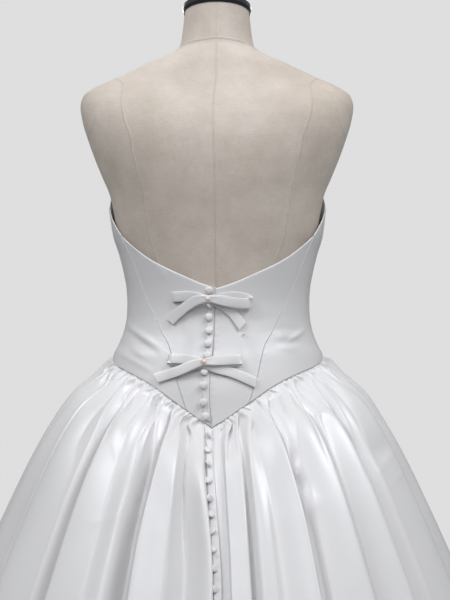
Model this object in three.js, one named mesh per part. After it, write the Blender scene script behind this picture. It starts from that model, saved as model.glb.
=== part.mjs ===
// A strapless ball gown on a limbless dress form, in millimetres, +Z up.
// The gown's front faces -Y and its buttoned back faces +Y; the wearer's left is +X.
// The origin is on the floor, at the middle of the stand's base.
import * as THREE from "three";

// Driving dimensions
const WAIST_Z = 1060;
const HEM_Z = 9;
const SEAM_GAP = 0.3;
const SEAM_SHARE = 0.75;
const EDGE_GAP = 0.5;
const BODICE_CLOTH = 1.8;
const SKIRT_CLOTH = 1.6;
const STAND_CLOTH = 0.9;
const BOTTOM_BOARD_Z = WAIST_Z - 260;
const NECK_CAP_HEIGHT = 26;
const POLE_RADIUS = 17;
const BASE_RADIUS = 215;
const BASE_HEIGHT = 12;
const BASE_HUB_RISE = 18;
const BUTTON_RADIUS = 5;
const BUTTON_HEIGHT = 3.4;
const BUTTON_STAND_WIDTH = 9;
const RIBBON_WIDTH = 13.5;
const RIBBON_CLOTH = 1;
const PEARL_RADIUS = 3.7;
const OPENING_ANGLE = 2;

// The dress form: half width, depth to the front and to the back, and how square the
// section is, for heights above the waist. An ellipse has a squareness of 2.
const FORM = [
  { up: -260, width: 160, front: 106, back: 106, square: 2 },
  { up: -190, width: 166, front: 112, back: 118, square: 2 },
  { up: -130, width: 158, front: 107, back: 113, square: 2 },
  { up: -75, width: 143.5, front: 98, back: 101, square: 2 },
  { up: -57, width: 134.8, front: 94, back: 96, square: 2 },
  { up: -37, width: 127.8, front: 89, back: 91, square: 2 },
  { up: -18, width: 124.7, front: 86, back: 88, square: 2 },
  { up: 0, width: 124.2, front: 85, back: 87, square: 2 },
  { up: 18, width: 125, front: 86, back: 87.5, square: 2.02 },
  { up: 40, width: 128.5, front: 90, back: 89, square: 2.06 },
  { up: 67, width: 134.8, front: 98, back: 92, square: 2.12 },
  { up: 95, width: 142.4, front: 108, back: 96, square: 2.2 },
  { up: 121, width: 145.2, front: 116, back: 100, square: 2.26 },
  { up: 150, width: 151, front: 120, back: 104, square: 2.32 },
  { up: 176, width: 161.6, front: 119, back: 106.5, square: 2.4 },
  { up: 200, width: 171.5, front: 114, back: 107.5, square: 2.5 },
  { up: 222, width: 179.6, front: 108, back: 106.5, square: 2.6 },
  { up: 253, width: 189.5, front: 97, back: 100, square: 2.7 },
  { up: 276, width: 193, front: 86, back: 90, square: 2.6 },
  { up: 291, width: 189, front: 77, back: 81, square: 2.4 },
  { up: 301, width: 177, front: 71, back: 75, square: 2.2 },
  { up: 320, width: 136, front: 64, back: 67, square: 2 },
  { up: 340, width: 94, front: 58, back: 60, square: 2 },
  { up: 354, width: 62, front: 54, back: 53, square: 2 },
  { up: 362, width: 53, front: 52, back: 49, square: 2 },
  { up: 385, width: 48.5, front: 50, back: 45, square: 2 },
  { up: 409, width: 46, front: 49, back: 42, square: 2 },
];
const NECK_TOP = 409;
const NECK_SLOPE = 0.22;
const NECK_SLOPE_FROM = 362;

// The two soft mounds of the form's bust.
const BUST = { up: 158, angle: 148, rise: 15, spreadUp: 48, spreadAngle: 24 };

// How far the bodice's outer face stands off the form, and how much more at the wearer's
// right side, where it sits looser.
const BODICE_EASE = [
  { up: -190, off: 3.8, right: 2.6 },
  { up: -75, off: 3.4, right: 3.2 },
  { up: -37, off: 2.9, right: 3.6 },
  { up: 0, off: 2.6, right: 3.8 },
  { up: 40, off: 3, right: 3.8 },
  { up: 67, off: 3.3, right: 3.6 },
  { up: 95, off: 4.6, right: 2.8 },
  { up: 121, off: 5.8, right: 1.8 },
  { up: 200, off: 5.4, right: 0 },
];

// The basque waist seam: height above the waist by degrees from the opening.
const BASQUE = [
  { angle: 0, up: -168 },
  { angle: 5, up: -159.5 },
  { angle: 12, up: -146 },
  { angle: 20, up: -132 },
  { angle: 28, up: -118.5 },
  { angle: 37, up: -107.5 },
  { angle: 50, up: -97 },
  { angle: 65, up: -89 },
  { angle: 80, up: -81 },
  { angle: 95, up: -75 },
  { angle: 120, up: -82 },
  { angle: 145, up: -104 },
  { angle: 165, up: -136 },
  { angle: 180, up: -160 },
];

// The neckline: a low V at the back, a soft dip at the front.
const NECKLINE = [
  { angle: 0, up: 19 },
  { angle: 6, up: 23.5 },
  { angle: 12, up: 28.5 },
  { angle: 20, up: 36.5 },
  { angle: 33, up: 49.5 },
  { angle: 42, up: 59.5 },
  { angle: 52, up: 73.5 },
  { angle: 63, up: 91 },
  { angle: 71, up: 106 },
  { angle: 80, up: 120 },
  { angle: 90, up: 134 },
  { angle: 105, up: 152 },
  { angle: 125, up: 176 },
  { angle: 145, up: 188 },
  { angle: 162, up: 182 },
  { angle: 180, up: 166 },
];

// Where the princess seams run, in degrees from the middle of the back.
const BACK_PRINCESS = [
  { up: -160, angle: 13 },
  { up: -142, angle: 14.7 },
  { up: -103, angle: 20.5 },
  { up: -65, angle: 26.4 },
  { up: -35, angle: 37 },
  { up: 16, angle: 52 },
  { up: 87, angle: 63 },
  { up: 130, angle: 70 },
];
const FRONT_PRINCESS = [
  { up: -150, angle: 160 },
  { up: -75, angle: 155 },
  { up: 0, angle: 150 },
  { up: 80, angle: 147 },
  { up: 158, angle: 146 },
  { up: 200, angle: 142 },
];
const SIDE_SEAM_ANGLE = 90;

// The buttoned opening of the bodice, a little to the wearer's left of the middle.
const BODICE_OPENING = [
  { up: -170, angle: 2 },
  { up: -125, angle: 3.2 },
  { up: -102, angle: 3.1 },
  { up: -60, angle: 1.9 },
  { up: -4, angle: 1.2 },
  { up: 25, angle: 0.9 },
];

// How far the skirt stands out from the waist seam, by length below that seam.
const FLARE = [
  { down: 0, out: 0 },
  { down: 8, out: 7.5 },
  { down: 20, out: 20.5 },
  { down: 49, out: 49 },
  { down: 78, out: 68.5 },
  { down: 139, out: 101.5 },
  { down: 199, out: 129.5 },
  { down: 252, out: 153 },
  { down: 332, out: 187 },
  { down: 600, out: 298 },
  { down: 973, out: 437 },
];

const V_ROUNDING = 13;
const V_ROUNDED_BELOW = 90;

// Half the rise from a valley to a ridge of the skirt's folds, and of the gathers at its seam.
const FOLD_DEPTH = [
  { down: 0, fold: 0.3, gather: 0.4 },
  { down: 6, fold: 1, gather: 1.4 },
  { down: 18, fold: 3, gather: 2.2 },
  { down: 40, fold: 6, gather: 1.3 },
  { down: 80, fold: 9, gather: 0.3 },
  { down: 120, fold: 10.5, gather: 0 },
  { down: 200, fold: 13, gather: 0 },
  { down: 400, fold: 18, gather: 0 },
  { down: 973, fold: 25, gather: 0 },
];

// The skirt's folds: where the cloth turns, in degrees from the middle of the back, and how
// far, as a share of the fold depth. A ridge and its valley close together make a sharp edge.
const FOLDS = [
  { angle: -1.5, share: -0.35 },
  { angle: 2.5, share: -0.35 },
  { angle: 7.5, share: 0.5 },
  { angle: 12, share: -0.5 },
  { angle: 17.5, share: 0.85 },
  { angle: 23.5, share: -1 },
  { angle: 31.5, share: 1 },
  { angle: 42.5, share: -0.9 },
  { angle: 53, share: 1 },
  { angle: 61, share: -0.8 },
  { angle: 70, share: 0.8 },
  { angle: 78, share: -0.6 },
  { angle: 87, share: 0.8 },
  { angle: 96, share: -0.7 },
  { angle: 106, share: 0.9 },
  { angle: 113, share: -0.8 },
  { angle: 124, share: 1 },
  { angle: 131, share: -0.9 },
  { angle: 140, share: 0.9 },
  { angle: 148, share: -0.8 },
  { angle: 157, share: 1 },
  { angle: 164, share: -0.8 },
  { angle: 172, share: 0.8 },
  { angle: 180, share: -0.7 },
  { angle: 188, share: 0.9 },
  { angle: 195, share: -0.8 },
  { angle: 205, share: 1 },
  { angle: 212, share: -0.9 },
  { angle: 221, share: 0.9 },
  { angle: 229, share: -0.8 },
  { angle: 239, share: 1 },
  { angle: 246, share: -0.8 },
  { angle: 256, share: 0.9 },
  { angle: 264, share: -0.7 },
  { angle: 277, share: 0.9 },
  { angle: 287, share: -0.8 },
  { angle: 294, share: 1 },
  { angle: 308.5, share: -0.8 },
  { angle: 313.5, share: 0.9 },
  { angle: 321.5, share: -0.9 },
  { angle: 326.5, share: 1 },
  { angle: 337, share: -0.9 },
  { angle: 341.5, share: 1 },
  { angle: 350.5, share: -0.5 },
  { angle: 354.5, share: 0.5 },
];
const FOLD_STEPS = 3;
const LEAST_COLUMN = 0.8;
const OPENING_SHIFT_REACH = 8;
const SKIRT_ROWS = [0, 0.006, 0.018, 0.036, 0.06, 0.095, 0.145, 0.21, 0.29, 0.39, 0.5, 0.62, 0.75, 0.88, 1];
const SKIRT_OPENING = [
  { down: 0, angle: 2 },
  { down: 90, angle: 0 },
  { down: 200, angle: -1.5 },
  { down: 973, angle: -1.5 },
];

// Covered buttons: on the bodice by height, on the skirt by length below the seam.
// The angle is in degrees from the middle of the back.
const BODICE_BUTTONS = [
  { up: 16, angle: 4.6 },
  { up: -4, angle: 4.6 },
  { up: -20.5, angle: 4.7 },
  { up: -39, angle: 4.5 },
  { up: -56.5, angle: 4.9 },
  { up: -72.5, angle: 4.9 },
  { up: -94.3, angle: 6.1 },
  { up: -112, angle: 6.4 },
  { up: -134.5, angle: 6.2 },
  { up: -153, angle: 5.1 },
];
const SKIRT_BUTTONS = [
  { down: 15, angle: 4 },
  { down: 31, angle: 3.6 },
  { down: 47, angle: 3.2 },
  { down: 65, angle: 2.6 },
  { down: 85, angle: 2 },
  { down: 105, angle: 1.6 },
  { down: 125, angle: 1.2 },
  { down: 147, angle: 0.9 },
  { down: 170, angle: 0.6 },
  { down: 194, angle: 0.5 },
  { down: 218, angle: 0.5 },
];
const SKIRT_STAND_END = 234;
const BODICE_STAND_LIFT = 0.45;
const SKIRT_STAND_LIFT = 1.2;
const BUTTON_LIFT = 0.8;
const BUTTON_STAND_MIDDLE = 4;
const BUTTON_STAND_REACH = 6;

// Each bow is two ribbons. The over ribbon is a tail on the wearer's left and a loop on the
// right; the under ribbon is a loop on the left and a tail on the right. Along is towards the
// wearer's left, up and lift are from the bow's middle and the bodice, tilt turns the width.
const BOWS = [
  {
    name: "upper",
    along: 10.8,
    up: 4.6,
    over: [
      { along: 52, up: -31.5, lift: 3, tilt: 42 },
      { along: 44, up: -23.5, lift: 4.4, tilt: 42 },
      { along: 28, up: -9.7, lift: 6.8, tilt: 36 },
      { along: 14, up: -1.6, lift: 9, tilt: 18 },
      { along: 0, up: 0, lift: 10, tilt: -3 },
      { along: -14, up: -1.4, lift: 10.2, tilt: -8 },
      { along: -32, up: -4.6, lift: 9.5, tilt: -9 },
      { along: -46, up: -6.4, lift: 9.3, tilt: -6 },
      { along: -53.5, up: -5.8, lift: 8.6, tilt: 0 },
      { along: -55.5, up: -4, lift: 6.2, tilt: 0 },
      { along: -52.5, up: -2, lift: 3.8, tilt: 0 },
      { along: -40, up: 0, lift: 3.2, tilt: 0 },
      { along: -24, up: 0.6, lift: 4.6, tilt: 0 },
      { along: -9, up: 0.2, lift: 8.2, tilt: 0 },
      { along: 2, up: 0, lift: 8.5, tilt: 0 },
    ],
    under: [
      { along: 2, up: 0, lift: 5.6, tilt: 0 },
      { along: 14, up: 2.2, lift: 3.6, tilt: 0 },
      { along: 30, up: 3.4, lift: 1.7, tilt: 0 },
      { along: 45, up: 3, lift: 1.5, tilt: 0 },
      { along: 49, up: 2.6, lift: 2.8, tilt: 0 },
      { along: 45, up: 3, lift: 4.1, tilt: 0 },
      { along: 34, up: 3.4, lift: 4.1, tilt: 0 },
      { along: 20, up: 3, lift: 5, tilt: 0 },
      { along: 8, up: 1, lift: 6.9, tilt: 0 },
      { along: 0, up: -1, lift: 7, tilt: -8 },
      { along: -9, up: -4, lift: 5.6, tilt: -20 },
      { along: -21, up: -10, lift: 3, tilt: -36 },
      { along: -33, up: -20.5, lift: 2, tilt: -48 },
      { along: -45.5, up: -38, lift: 2.6, tilt: -56 },
    ],
  },
  {
    name: "lower",
    along: 16.7,
    up: -83,
    over: [
      { along: 64, up: -20.5, lift: 4.4, tilt: 22 },
      { along: 50, up: -16, lift: 3.4, tilt: 20 },
      { along: 33, up: -10.6, lift: 6, tilt: 18 },
      { along: 15, up: -3.4, lift: 8.8, tilt: 18 },
      { along: 0, up: 0, lift: 10, tilt: 6 },
      { along: -12, up: 1.8, lift: 10, tilt: -3 },
      { along: -28, up: 3.4, lift: 8, tilt: -5 },
      { along: -43, up: 4.2, lift: 7.4, tilt: -3 },
      { along: -48.5, up: 3.6, lift: 6.2, tilt: 0 },
      { along: -45, up: 2.4, lift: 4.6, tilt: 0 },
      { along: -32, up: 1.6, lift: 4.4, tilt: 0 },
      { along: -18, up: 1, lift: 5.6, tilt: 0 },
      { along: -8, up: 0.4, lift: 8.2, tilt: 0 },
      { along: 2, up: 0, lift: 8.5, tilt: 0 },
    ],
    under: [
      { along: 1, up: 1, lift: 5.6, tilt: 0 },
      { along: 12, up: 2.6, lift: 3.6, tilt: 0 },
      { along: 26, up: 3.4, lift: 2, tilt: 0 },
      { along: 42, up: 3.4, lift: 1.8, tilt: 0 },
      { along: 46.5, up: 4.4, lift: 3, tilt: 0 },
      { along: 43, up: 5.6, lift: 4.4, tilt: 0 },
      { along: 31, up: 5.6, lift: 4.6, tilt: 0 },
      { along: 18, up: 4.2, lift: 5, tilt: 0 },
      { along: 7, up: 1, lift: 6.9, tilt: 0 },
      { along: -1, up: -2, lift: 7, tilt: -14 },
      { along: -12, up: -5.6, lift: 4.6, tilt: -20 },
      { along: -36, up: -11.6, lift: 3, tilt: -22 },
      { along: -54, up: -19, lift: 3, tilt: -24 },
      { along: -69, up: -26, lift: 3.6, tilt: -25 },
    ],
  },
];
const RIBBON_STEPS = 30;
const BACK_MM_PER_DEGREE = 2.4;
const BOW_RISE = 10;
const PINCH = 0.28;
const PINCH_REACH = 11;

const COLOURS = {
  satin: 0xf4f4f6,
  linen: 0xcbbfae,
  cap: 0x1b1d22,
  metal: 0x8f9296,
  pearl: 0xf2d9c4,
};

const radians = (degrees) => (degrees * Math.PI) / 180;
const mix = (a, b, share) => a + (b - a) * share;

// The value of one column of a table where another column has a given value, on a smooth
// curve through the rows that doesn't swing past them.
function read(table, key, at, column) {
  const last = table.length - 1;
  const x = (i) => table[i][key];
  const y = (i) => table[i][column];
  if (at <= x(0)) return y(0);
  if (at >= x(last)) return y(last);
  let i = 0;
  while (at > x(i + 1)) i += 1;
  const slope = (k) => (y(k + 1) - y(k)) / (x(k + 1) - x(k));
  const tangent = (k) => {
    if (k === 0) return slope(0);
    if (k === last) return slope(last - 1);
    const before = slope(k - 1);
    const after = slope(k);
    if (before * after <= 0) return 0;
    return (2 * before * after) / (before + after);
  };
  const span = x(i + 1) - x(i);
  const t = (at - x(i)) / span;
  const hold = y(i) * (1 + 2 * t) + tangent(i) * span * t;
  const reach = y(i + 1) * (3 - 2 * t) + tangent(i + 1) * span * (t - 1);
  return hold * (1 - t) ** 2 + reach * t ** 2;
}

// The angle's size on either side of the middle of the back, from 0 to 180 degrees.
function fromBack(angle) {
  const turned = (((angle + 180) % 360) + 360) % 360;
  return Math.abs(turned - 180);
}

const seamUp = (angle) => read(BASQUE, "angle", fromBack(angle - OPENING_ANGLE), "up");
const necklineUp = (angle) => read(NECKLINE, "angle", fromBack(angle), "up");

function bodiceEase(angle, up) {
  const right = Math.max(0, -Math.sin(radians(angle)));
  return read(BODICE_EASE, "up", up, "off") + right * right * read(BODICE_EASE, "up", up, "right");
}

function bustRise(angle, up) {
  const around = (fromBack(angle) - BUST.angle) / BUST.spreadAngle;
  const above = (up - BUST.up) / BUST.spreadUp;
  return BUST.rise * Math.exp(-around * around - above * above);
}

// A point of the body at an angle from the middle of the back, moved out by an offset.
function bodyPoint(angle, up, off) {
  const turn = radians(angle);
  const power = 2 / read(FORM, "up", up, "square");
  const grow = off + bustRise(angle, up);
  const width = read(FORM, "up", up, "width") + grow;
  const side = Math.cos(turn) >= 0 ? "back" : "front";
  const depth = read(FORM, "up", up, side) + grow;
  const across = Math.sign(Math.sin(turn)) * Math.abs(Math.sin(turn)) ** power;
  const along = Math.sign(Math.cos(turn)) * Math.abs(Math.cos(turn)) ** power;
  return new THREE.Vector3(width * across, depth * along, WAIST_Z + up);
}

const bodicePoint = (angle, up, off = 0) => bodyPoint(angle, up, bodiceEase(angle, up) + off);

// How far the cloth of the skirt's folds is turned out at an angle, from -1 to 1.
function foldShare(angle) {
  const first = FOLDS[0].angle;
  const at = ((((angle - first) % 360) + 360) % 360) + first;
  const rows = [...FOLDS, { angle: FOLDS[0].angle + 360, share: FOLDS[0].share }];
  let i = 0;
  while (i < rows.length - 2 && at > rows[i + 1].angle) i += 1;
  const span = rows[i + 1].angle - rows[i].angle;
  const t = span > 0 ? (at - rows[i].angle) / span : 0;
  return mix(rows[i].share, rows[i + 1].share, (1 - Math.cos(Math.PI * t)) / 2);
}

// How much further the skirt has fallen than its seam says: the V of the seam is sharp, and
// the cloth below it hangs as if from a rounded one.
function roundedFall(angle, down) {
  const away = fromBack(angle - OPENING_ANGLE);
  const rounded = read(BASQUE, "angle", Math.min(180, Math.hypot(away, V_ROUNDING)), "up");
  const t = Math.min(1, down / V_ROUNDED_BELOW);
  return (rounded - seamUp(angle)) * t * t * (3 - 2 * t);
}

// A point of the skirt's outer face, by its length below the seam; gather is -1, 0 or 1.
function skirtPoint(angle, down, gather = 0) {
  const turn = radians(angle);
  const up = seamUp(angle);
  const side = Math.cos(turn) >= 0 ? "back" : "front";
  const fold = foldShare(angle) * read(FOLD_DEPTH, "down", down, "fold");
  const tuck = gather * read(FOLD_DEPTH, "down", down, "gather");
  const flare = read(FLARE, "down", down + roundedFall(angle, down), "out");
  const grow = bodiceEase(angle, up) + flare + fold + tuck;
  const width = read(FORM, "up", up, "width") + grow;
  const depth = read(FORM, "up", up, side) + grow;
  return new THREE.Vector3(width * Math.sin(turn), depth * Math.cos(turn), WAIST_Z + up - down);
}

// A closed solid from points and triangles, turned so that its faces point out.
function closedGeometry(points, triangles) {
  let volume = 0;
  for (const [a, b, c] of triangles) {
    volume += points[a].dot(new THREE.Vector3().crossVectors(points[b], points[c]));
  }
  const order = volume > 0 ? triangles : triangles.map(([a, b, c]) => [a, c, b]);
  const geometry = new THREE.BufferGeometry().setFromPoints(points);
  geometry.setIndex(order.flat());
  geometry.computeVertexNormals();
  return geometry;
}

// A wall between two grids of points, outer and inner, closed along its four edges.
function wallGeometry(outer, inner) {
  const rows = outer.length;
  const columns = outer[0].length;
  const points = [...outer.flat(), ...inner.flat()];
  const half = rows * columns;
  const triangles = [];
  const quad = (a, b, c, d) => triangles.push([a, b, c], [a, c, d]);
  const at = (row, column) => row * columns + column;
  for (let r = 0; r + 1 < rows; r += 1) {
    for (let c = 0; c + 1 < columns; c += 1) {
      const face = [at(r, c), at(r, c + 1), at(r + 1, c + 1), at(r + 1, c)];
      quad(...face);
      quad(...face.map((k) => k + half).reverse());
    }
  }
  const rim = [];
  for (let c = 0; c < columns - 1; c += 1) rim.push(at(0, c));
  for (let r = 0; r < rows - 1; r += 1) rim.push(at(r, columns - 1));
  for (let c = columns - 1; c > 0; c -= 1) rim.push(at(rows - 1, c));
  for (let r = rows - 1; r > 0; r -= 1) rim.push(at(r, 0));
  rim.forEach((a, k) => {
    const b = rim[(k + 1) % rim.length];
    quad(a, a + half, b + half, b);
  });
  return closedGeometry(points, triangles);
}

// A solid through closed rings, with a flat fan on its first and last ring.
function loftGeometry(rings) {
  const around = rings[0].length;
  const points = rings.flat();
  const triangles = [];
  const at = (ring, k) => ring * around + (k % around);
  for (let r = 0; r + 1 < rings.length; r += 1) {
    for (let k = 0; k < around; k += 1) {
      triangles.push([at(r, k), at(r, k + 1), at(r + 1, k + 1)]);
      triangles.push([at(r, k), at(r + 1, k + 1), at(r + 1, k)]);
    }
  }
  for (const [ring, ahead] of [[0, false], [rings.length - 1, true]]) {
    const middle = new THREE.Vector3();
    rings[ring].forEach((p) => middle.addScaledVector(p, 1 / around));
    points.push(middle);
    for (let k = 0; k < around; k += 1) {
      const edge = [at(ring, k), at(ring, k + 1)];
      triangles.push([points.length - 1, ...(ahead ? edge : edge.reverse())]);
    }
  }
  return closedGeometry(points, triangles);
}

function material(name, roughness, metalness = 0) {
  return new THREE.MeshStandardMaterial({ color: COLOURS[name], roughness, metalness });
}

function mesh(name, geometry, look) {
  const made = new THREE.Mesh(geometry, look);
  made.name = name;
  return made;
}

// The neck's rings slope up towards the back, as the top of a form's neck does.
function slopedNeck(point, up) {
  const share = Math.max(0, up - NECK_SLOPE_FROM) / (NECK_TOP - NECK_SLOPE_FROM);
  return point.setZ(point.z + share * NECK_SLOPE * point.y);
}

const FORM_COLUMNS = 36;

function formRing(up, off = 0) {
  const ring = [];
  for (let k = 0; k < FORM_COLUMNS; k += 1) {
    ring.push(slopedNeck(bodyPoint((360 * k) / FORM_COLUMNS, up, off), up));
  }
  return ring;
}

function formTorso() {
  return mesh("form_torso", loftGeometry(FORM.map((row) => formRing(row.up))), material("linen", 0.85));
}

// The cap over the neck: a rim that hides the linen's edge, and a low dome.
function formNeckCap() {
  const steps = [
    { rise: SEAM_GAP, grow: 1.5 },
    { rise: 4, grow: 2.6 },
    { rise: 10, grow: 2.2 },
    { rise: 17, grow: -6 },
    { rise: 22, grow: -20 },
    { rise: NECK_CAP_HEIGHT, grow: -36 },
  ];
  const rings = steps.map(({ rise, grow }) =>
    formRing(NECK_TOP, grow).map((p) => p.setZ(p.z + rise)),
  );
  return mesh("form_neck_cap", loftGeometry(rings), material("cap", 0.25));
}

function standPole() {
  const foot = BASE_HEIGHT + BASE_HUB_RISE + SEAM_GAP;
  const length = BOTTOM_BOARD_Z - SEAM_GAP - foot;
  const pole = mesh(
    "stand_pole",
    new THREE.CylinderGeometry(POLE_RADIUS, POLE_RADIUS, length, 24),
    material("metal", 0.35, 1),
  );
  pole.rotation.x = Math.PI / 2;
  pole.position.z = foot + length / 2;
  return pole;
}

function standBase() {
  const profile = [
    new THREE.Vector2(0, 0),
    new THREE.Vector2(BASE_RADIUS - 3, 0),
    new THREE.Vector2(BASE_RADIUS, 3),
    new THREE.Vector2(BASE_RADIUS - 2, BASE_HEIGHT - 4),
    new THREE.Vector2(BASE_RADIUS - 10, BASE_HEIGHT - 1),
    new THREE.Vector2(POLE_RADIUS + 22, BASE_HEIGHT + 3),
    new THREE.Vector2(POLE_RADIUS + 12, BASE_HEIGHT + 9),
    new THREE.Vector2(POLE_RADIUS + 8, BASE_HEIGHT + BASE_HUB_RISE),
    new THREE.Vector2(0, BASE_HEIGHT + BASE_HUB_RISE),
  ];
  const base = mesh("stand_base", new THREE.LatheGeometry(profile, 40), material("metal", 0.4, 1));
  base.rotation.x = Math.PI / 2;
  return base;
}

const BODICE_ROWS = 10;
const SETTLING_STEPS = 40;

// A bodice panel between two seams. Each seam gives an angle for a height, and each row of
// the panel runs at the same share of the way from the waist seam to the neckline.
function bodicePanel(name, columns, fromSeam, toSeam) {
  const solve = (share, rise) => {
    let up = 0;
    let angle = 0;
    for (let step = 0; step < SETTLING_STEPS; step += 1) {
      angle = mix(fromSeam(up), toSeam(up), share);
      up = mix(seamUp(angle) + EDGE_GAP, necklineUp(angle), rise);
    }
    return { angle, up };
  };
  const parting = (up) => (SEAM_SHARE * SEAM_GAP) / (radians(1) * read(FORM, "up", up, "width"));
  const grid = (off) => {
    const rows = [];
    for (let r = 0; r <= BODICE_ROWS; r += 1) {
      const row = [];
      for (let c = 0; c <= columns; c += 1) {
        const { angle, up } = solve(c / columns, r / BODICE_ROWS);
        const aside = c === 0 ? parting(up) : c === columns ? -parting(up) : 0;
        row.push(bodicePoint(angle + aside, up, off));
      }
      rows.push(row);
    }
    return rows;
  };
  return mesh(name, wallGeometry(grid(0), grid(-BODICE_CLOTH)), material("satin", 0.45));
}

function bodice() {
  const opening = (up) => read(BODICE_OPENING, "up", up, "angle");
  const back = (up) => read(BACK_PRINCESS, "up", up, "angle");
  const front = (up) => read(FRONT_PRINCESS, "up", up, "angle");
  const side = () => SIDE_SEAM_ANGLE;
  const other = (seam) => (up) => 360 - seam(up);
  const right = (seam) => (up) => -seam(up);
  return [
    bodicePanel("bodice_back_left", 6, opening, back),
    bodicePanel("bodice_side_back_left", 7, back, side),
    bodicePanel("bodice_side_front_left", 8, side, front),
    bodicePanel("bodice_front", 10, front, other(front)),
    bodicePanel("bodice_side_front_right", 8, other(front), other(side)),
    bodicePanel("bodice_side_back_right", 7, right(side), right(back)),
    bodicePanel("bodice_back_right", 6, right(back), opening),
  ];
}

// The columns of the skirt: every turn of the cloth and the steps between two turns.
function skirtColumns() {
  const columns = [];
  FOLDS.forEach((row, i) => {
    const next = FOLDS[i + 1] ?? { angle: FOLDS[0].angle + 360 };
    for (let k = 0; k < FOLD_STEPS; k += 1) {
      columns.push(mix(row.angle, next.angle, k / FOLD_STEPS));
    }
  });
  return columns;
}

// A skirt panel between two angles; an edge at the opening follows the buttons' line.
function skirtPanel(name, from, to) {
  const inside = skirtColumns().flatMap((angle) => [angle, angle - 360]);
  const clear = (angle) => angle > from + LEAST_COLUMN && angle < to - LEAST_COLUMN;
  const between = inside.filter(clear);
  const angles = [from, ...between.sort((a, b) => a - b), to];
  const grid = (off) => SKIRT_ROWS.map((share, r) =>
    angles.map((angle, c) => {
      const edge = c === 0 || c === angles.length - 1;
      const length = seamUp(angle) + WAIST_Z - HEM_Z;
      const down = Math.max(share * length, r === 0 ? EDGE_GAP / 2 : 0);
      const slit = read(SKIRT_OPENING, "down", down, "angle");
      const near = 1 - Math.min(1, Math.abs(angle - OPENING_ANGLE) / OPENING_SHIFT_REACH);
      const shifted = angle + (slit - OPENING_ANGLE) * near;
      const width = read(FORM, "up", seamUp(angle), "width") + read(FLARE, "down", down, "out");
      const gap = edge ? (SEAM_SHARE * SEAM_GAP) / (radians(1) * width) : 0;
      const aside = c === 0 ? gap : -gap;
      const plain = edge || Math.abs(angle - BUTTON_STAND_MIDDLE) < BUTTON_STAND_REACH;
      const gather = plain ? 0 : c % 2 === 0 ? 1 : -1;
      const normal = outward(skirtPoint, shifted, down);
      if (r === 0) normal.setZ(0).normalize();
      const point = skirtPoint(shifted + aside, down, gather);
      return point.addScaledVector(normal, off);
    }),
  );
  return mesh(name, wallGeometry(grid(0), grid(-SKIRT_CLOTH)), material("satin", 0.4));
}

function skirt() {
  return [
    skirtPanel("skirt_back_left", OPENING_ANGLE, SIDE_SEAM_ANGLE),
    skirtPanel("skirt_front", SIDE_SEAM_ANGLE, 360 - SIDE_SEAM_ANGLE),
    skirtPanel("skirt_back_right", -SIDE_SEAM_ANGLE, OPENING_ANGLE),
  ];
}

// The outward direction of a surface that is given by an angle and a height or a length.
function outward(surface, angle, along) {
  const step = 0.5;
  const a = new THREE.Vector3().subVectors(surface(angle + step, along), surface(angle - step, along));
  const b = new THREE.Vector3().subVectors(surface(angle, along + step), surface(angle, along - step));
  const normal = new THREE.Vector3().crossVectors(a, b).normalize();
  const point = surface(angle, along);
  if (normal.x * point.x + normal.y * point.y < 0) normal.negate();
  return normal;
}

// The narrow folded strip under the buttons, made from its panel's points, moved out.
function buttonStand(name, surface, opening, from, to, rows, lift) {
  const grid = (off) => {
    const made = [];
    for (let r = 0; r <= rows; r += 1) {
      const along = mix(from, to, r / rows);
      const row = [];
      for (let c = 0; c <= 3; c += 1) {
        const start = opening(along);
        const width = surface(90, along).x;
        const angle = start + (0.8 + (BUTTON_STAND_WIDTH * c) / 3) / (radians(1) * width);
        row.push(surface(angle, along).addScaledVector(outward(surface, angle, along), off));
      }
      made.push(row);
    }
    return made;
  };
  return mesh(name, wallGeometry(grid(lift + STAND_CLOTH), grid(lift)), material("satin", 0.45));
}

function buttonStands() {
  const bodiceSlit = (up) => read(BODICE_OPENING, "up", up, "angle");
  const skirtSlit = (down) => read(SKIRT_OPENING, "down", down, "angle");
  return [
    buttonStand(
      "button_stand_bodice",
      bodicePoint,
      bodiceSlit,
      seamUp(5) + 4,
      necklineUp(5) - 1.5,
      12,
      BODICE_STAND_LIFT,
    ),
    buttonStand(
      "button_stand_skirt",
      skirtPoint,
      skirtSlit,
      4,
      SKIRT_STAND_END,
      22,
      SKIRT_STAND_LIFT,
    ),
  ];
}

// A covered button: a shallow dome on a flat back.
function button(name, point, normal) {
  const profile = [
    new THREE.Vector2(0, 0),
    new THREE.Vector2(BUTTON_RADIUS * 0.86, 0),
    new THREE.Vector2(BUTTON_RADIUS, BUTTON_HEIGHT * 0.34),
    new THREE.Vector2(BUTTON_RADIUS * 0.78, BUTTON_HEIGHT * 0.78),
    new THREE.Vector2(0, BUTTON_HEIGHT),
  ];
  const made = mesh(name, new THREE.LatheGeometry(profile, 9), material("satin", 0.4));
  made.position.copy(point);
  made.quaternion.setFromUnitVectors(new THREE.Vector3(0, 1, 0), normal);
  return made;
}

function buttons() {
  const sewn = (surface, angle, along, number) => {
    const normal = outward(surface, angle, along);
    const lift = surface === bodicePoint ? BODICE_STAND_LIFT : SKIRT_STAND_LIFT;
    const seat = lift + STAND_CLOTH + BUTTON_LIFT;
    const point = surface(angle, along).addScaledVector(normal, seat);
    return button("button_" + String(number).padStart(2, "0"), point, normal);
  };
  return [
    ...BODICE_BUTTONS.map((row, i) => sewn(bodicePoint, row.angle, row.up, i + 1)),
    ...SKIRT_BUTTONS.map((row, i) =>
      sewn(skirtPoint, row.angle, row.down, i + 1 + BODICE_BUTTONS.length),
    ),
  ];
}

// The angle of the back of the bodice at a place across and a height.
function backAngle(along, up) {
  let angle = 0;
  for (let step = 0; step < SETTLING_STEPS; step += 1) {
    angle += (along - bodicePoint(angle, up).x) / BACK_MM_PER_DEGREE;
  }
  return angle;
}

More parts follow.
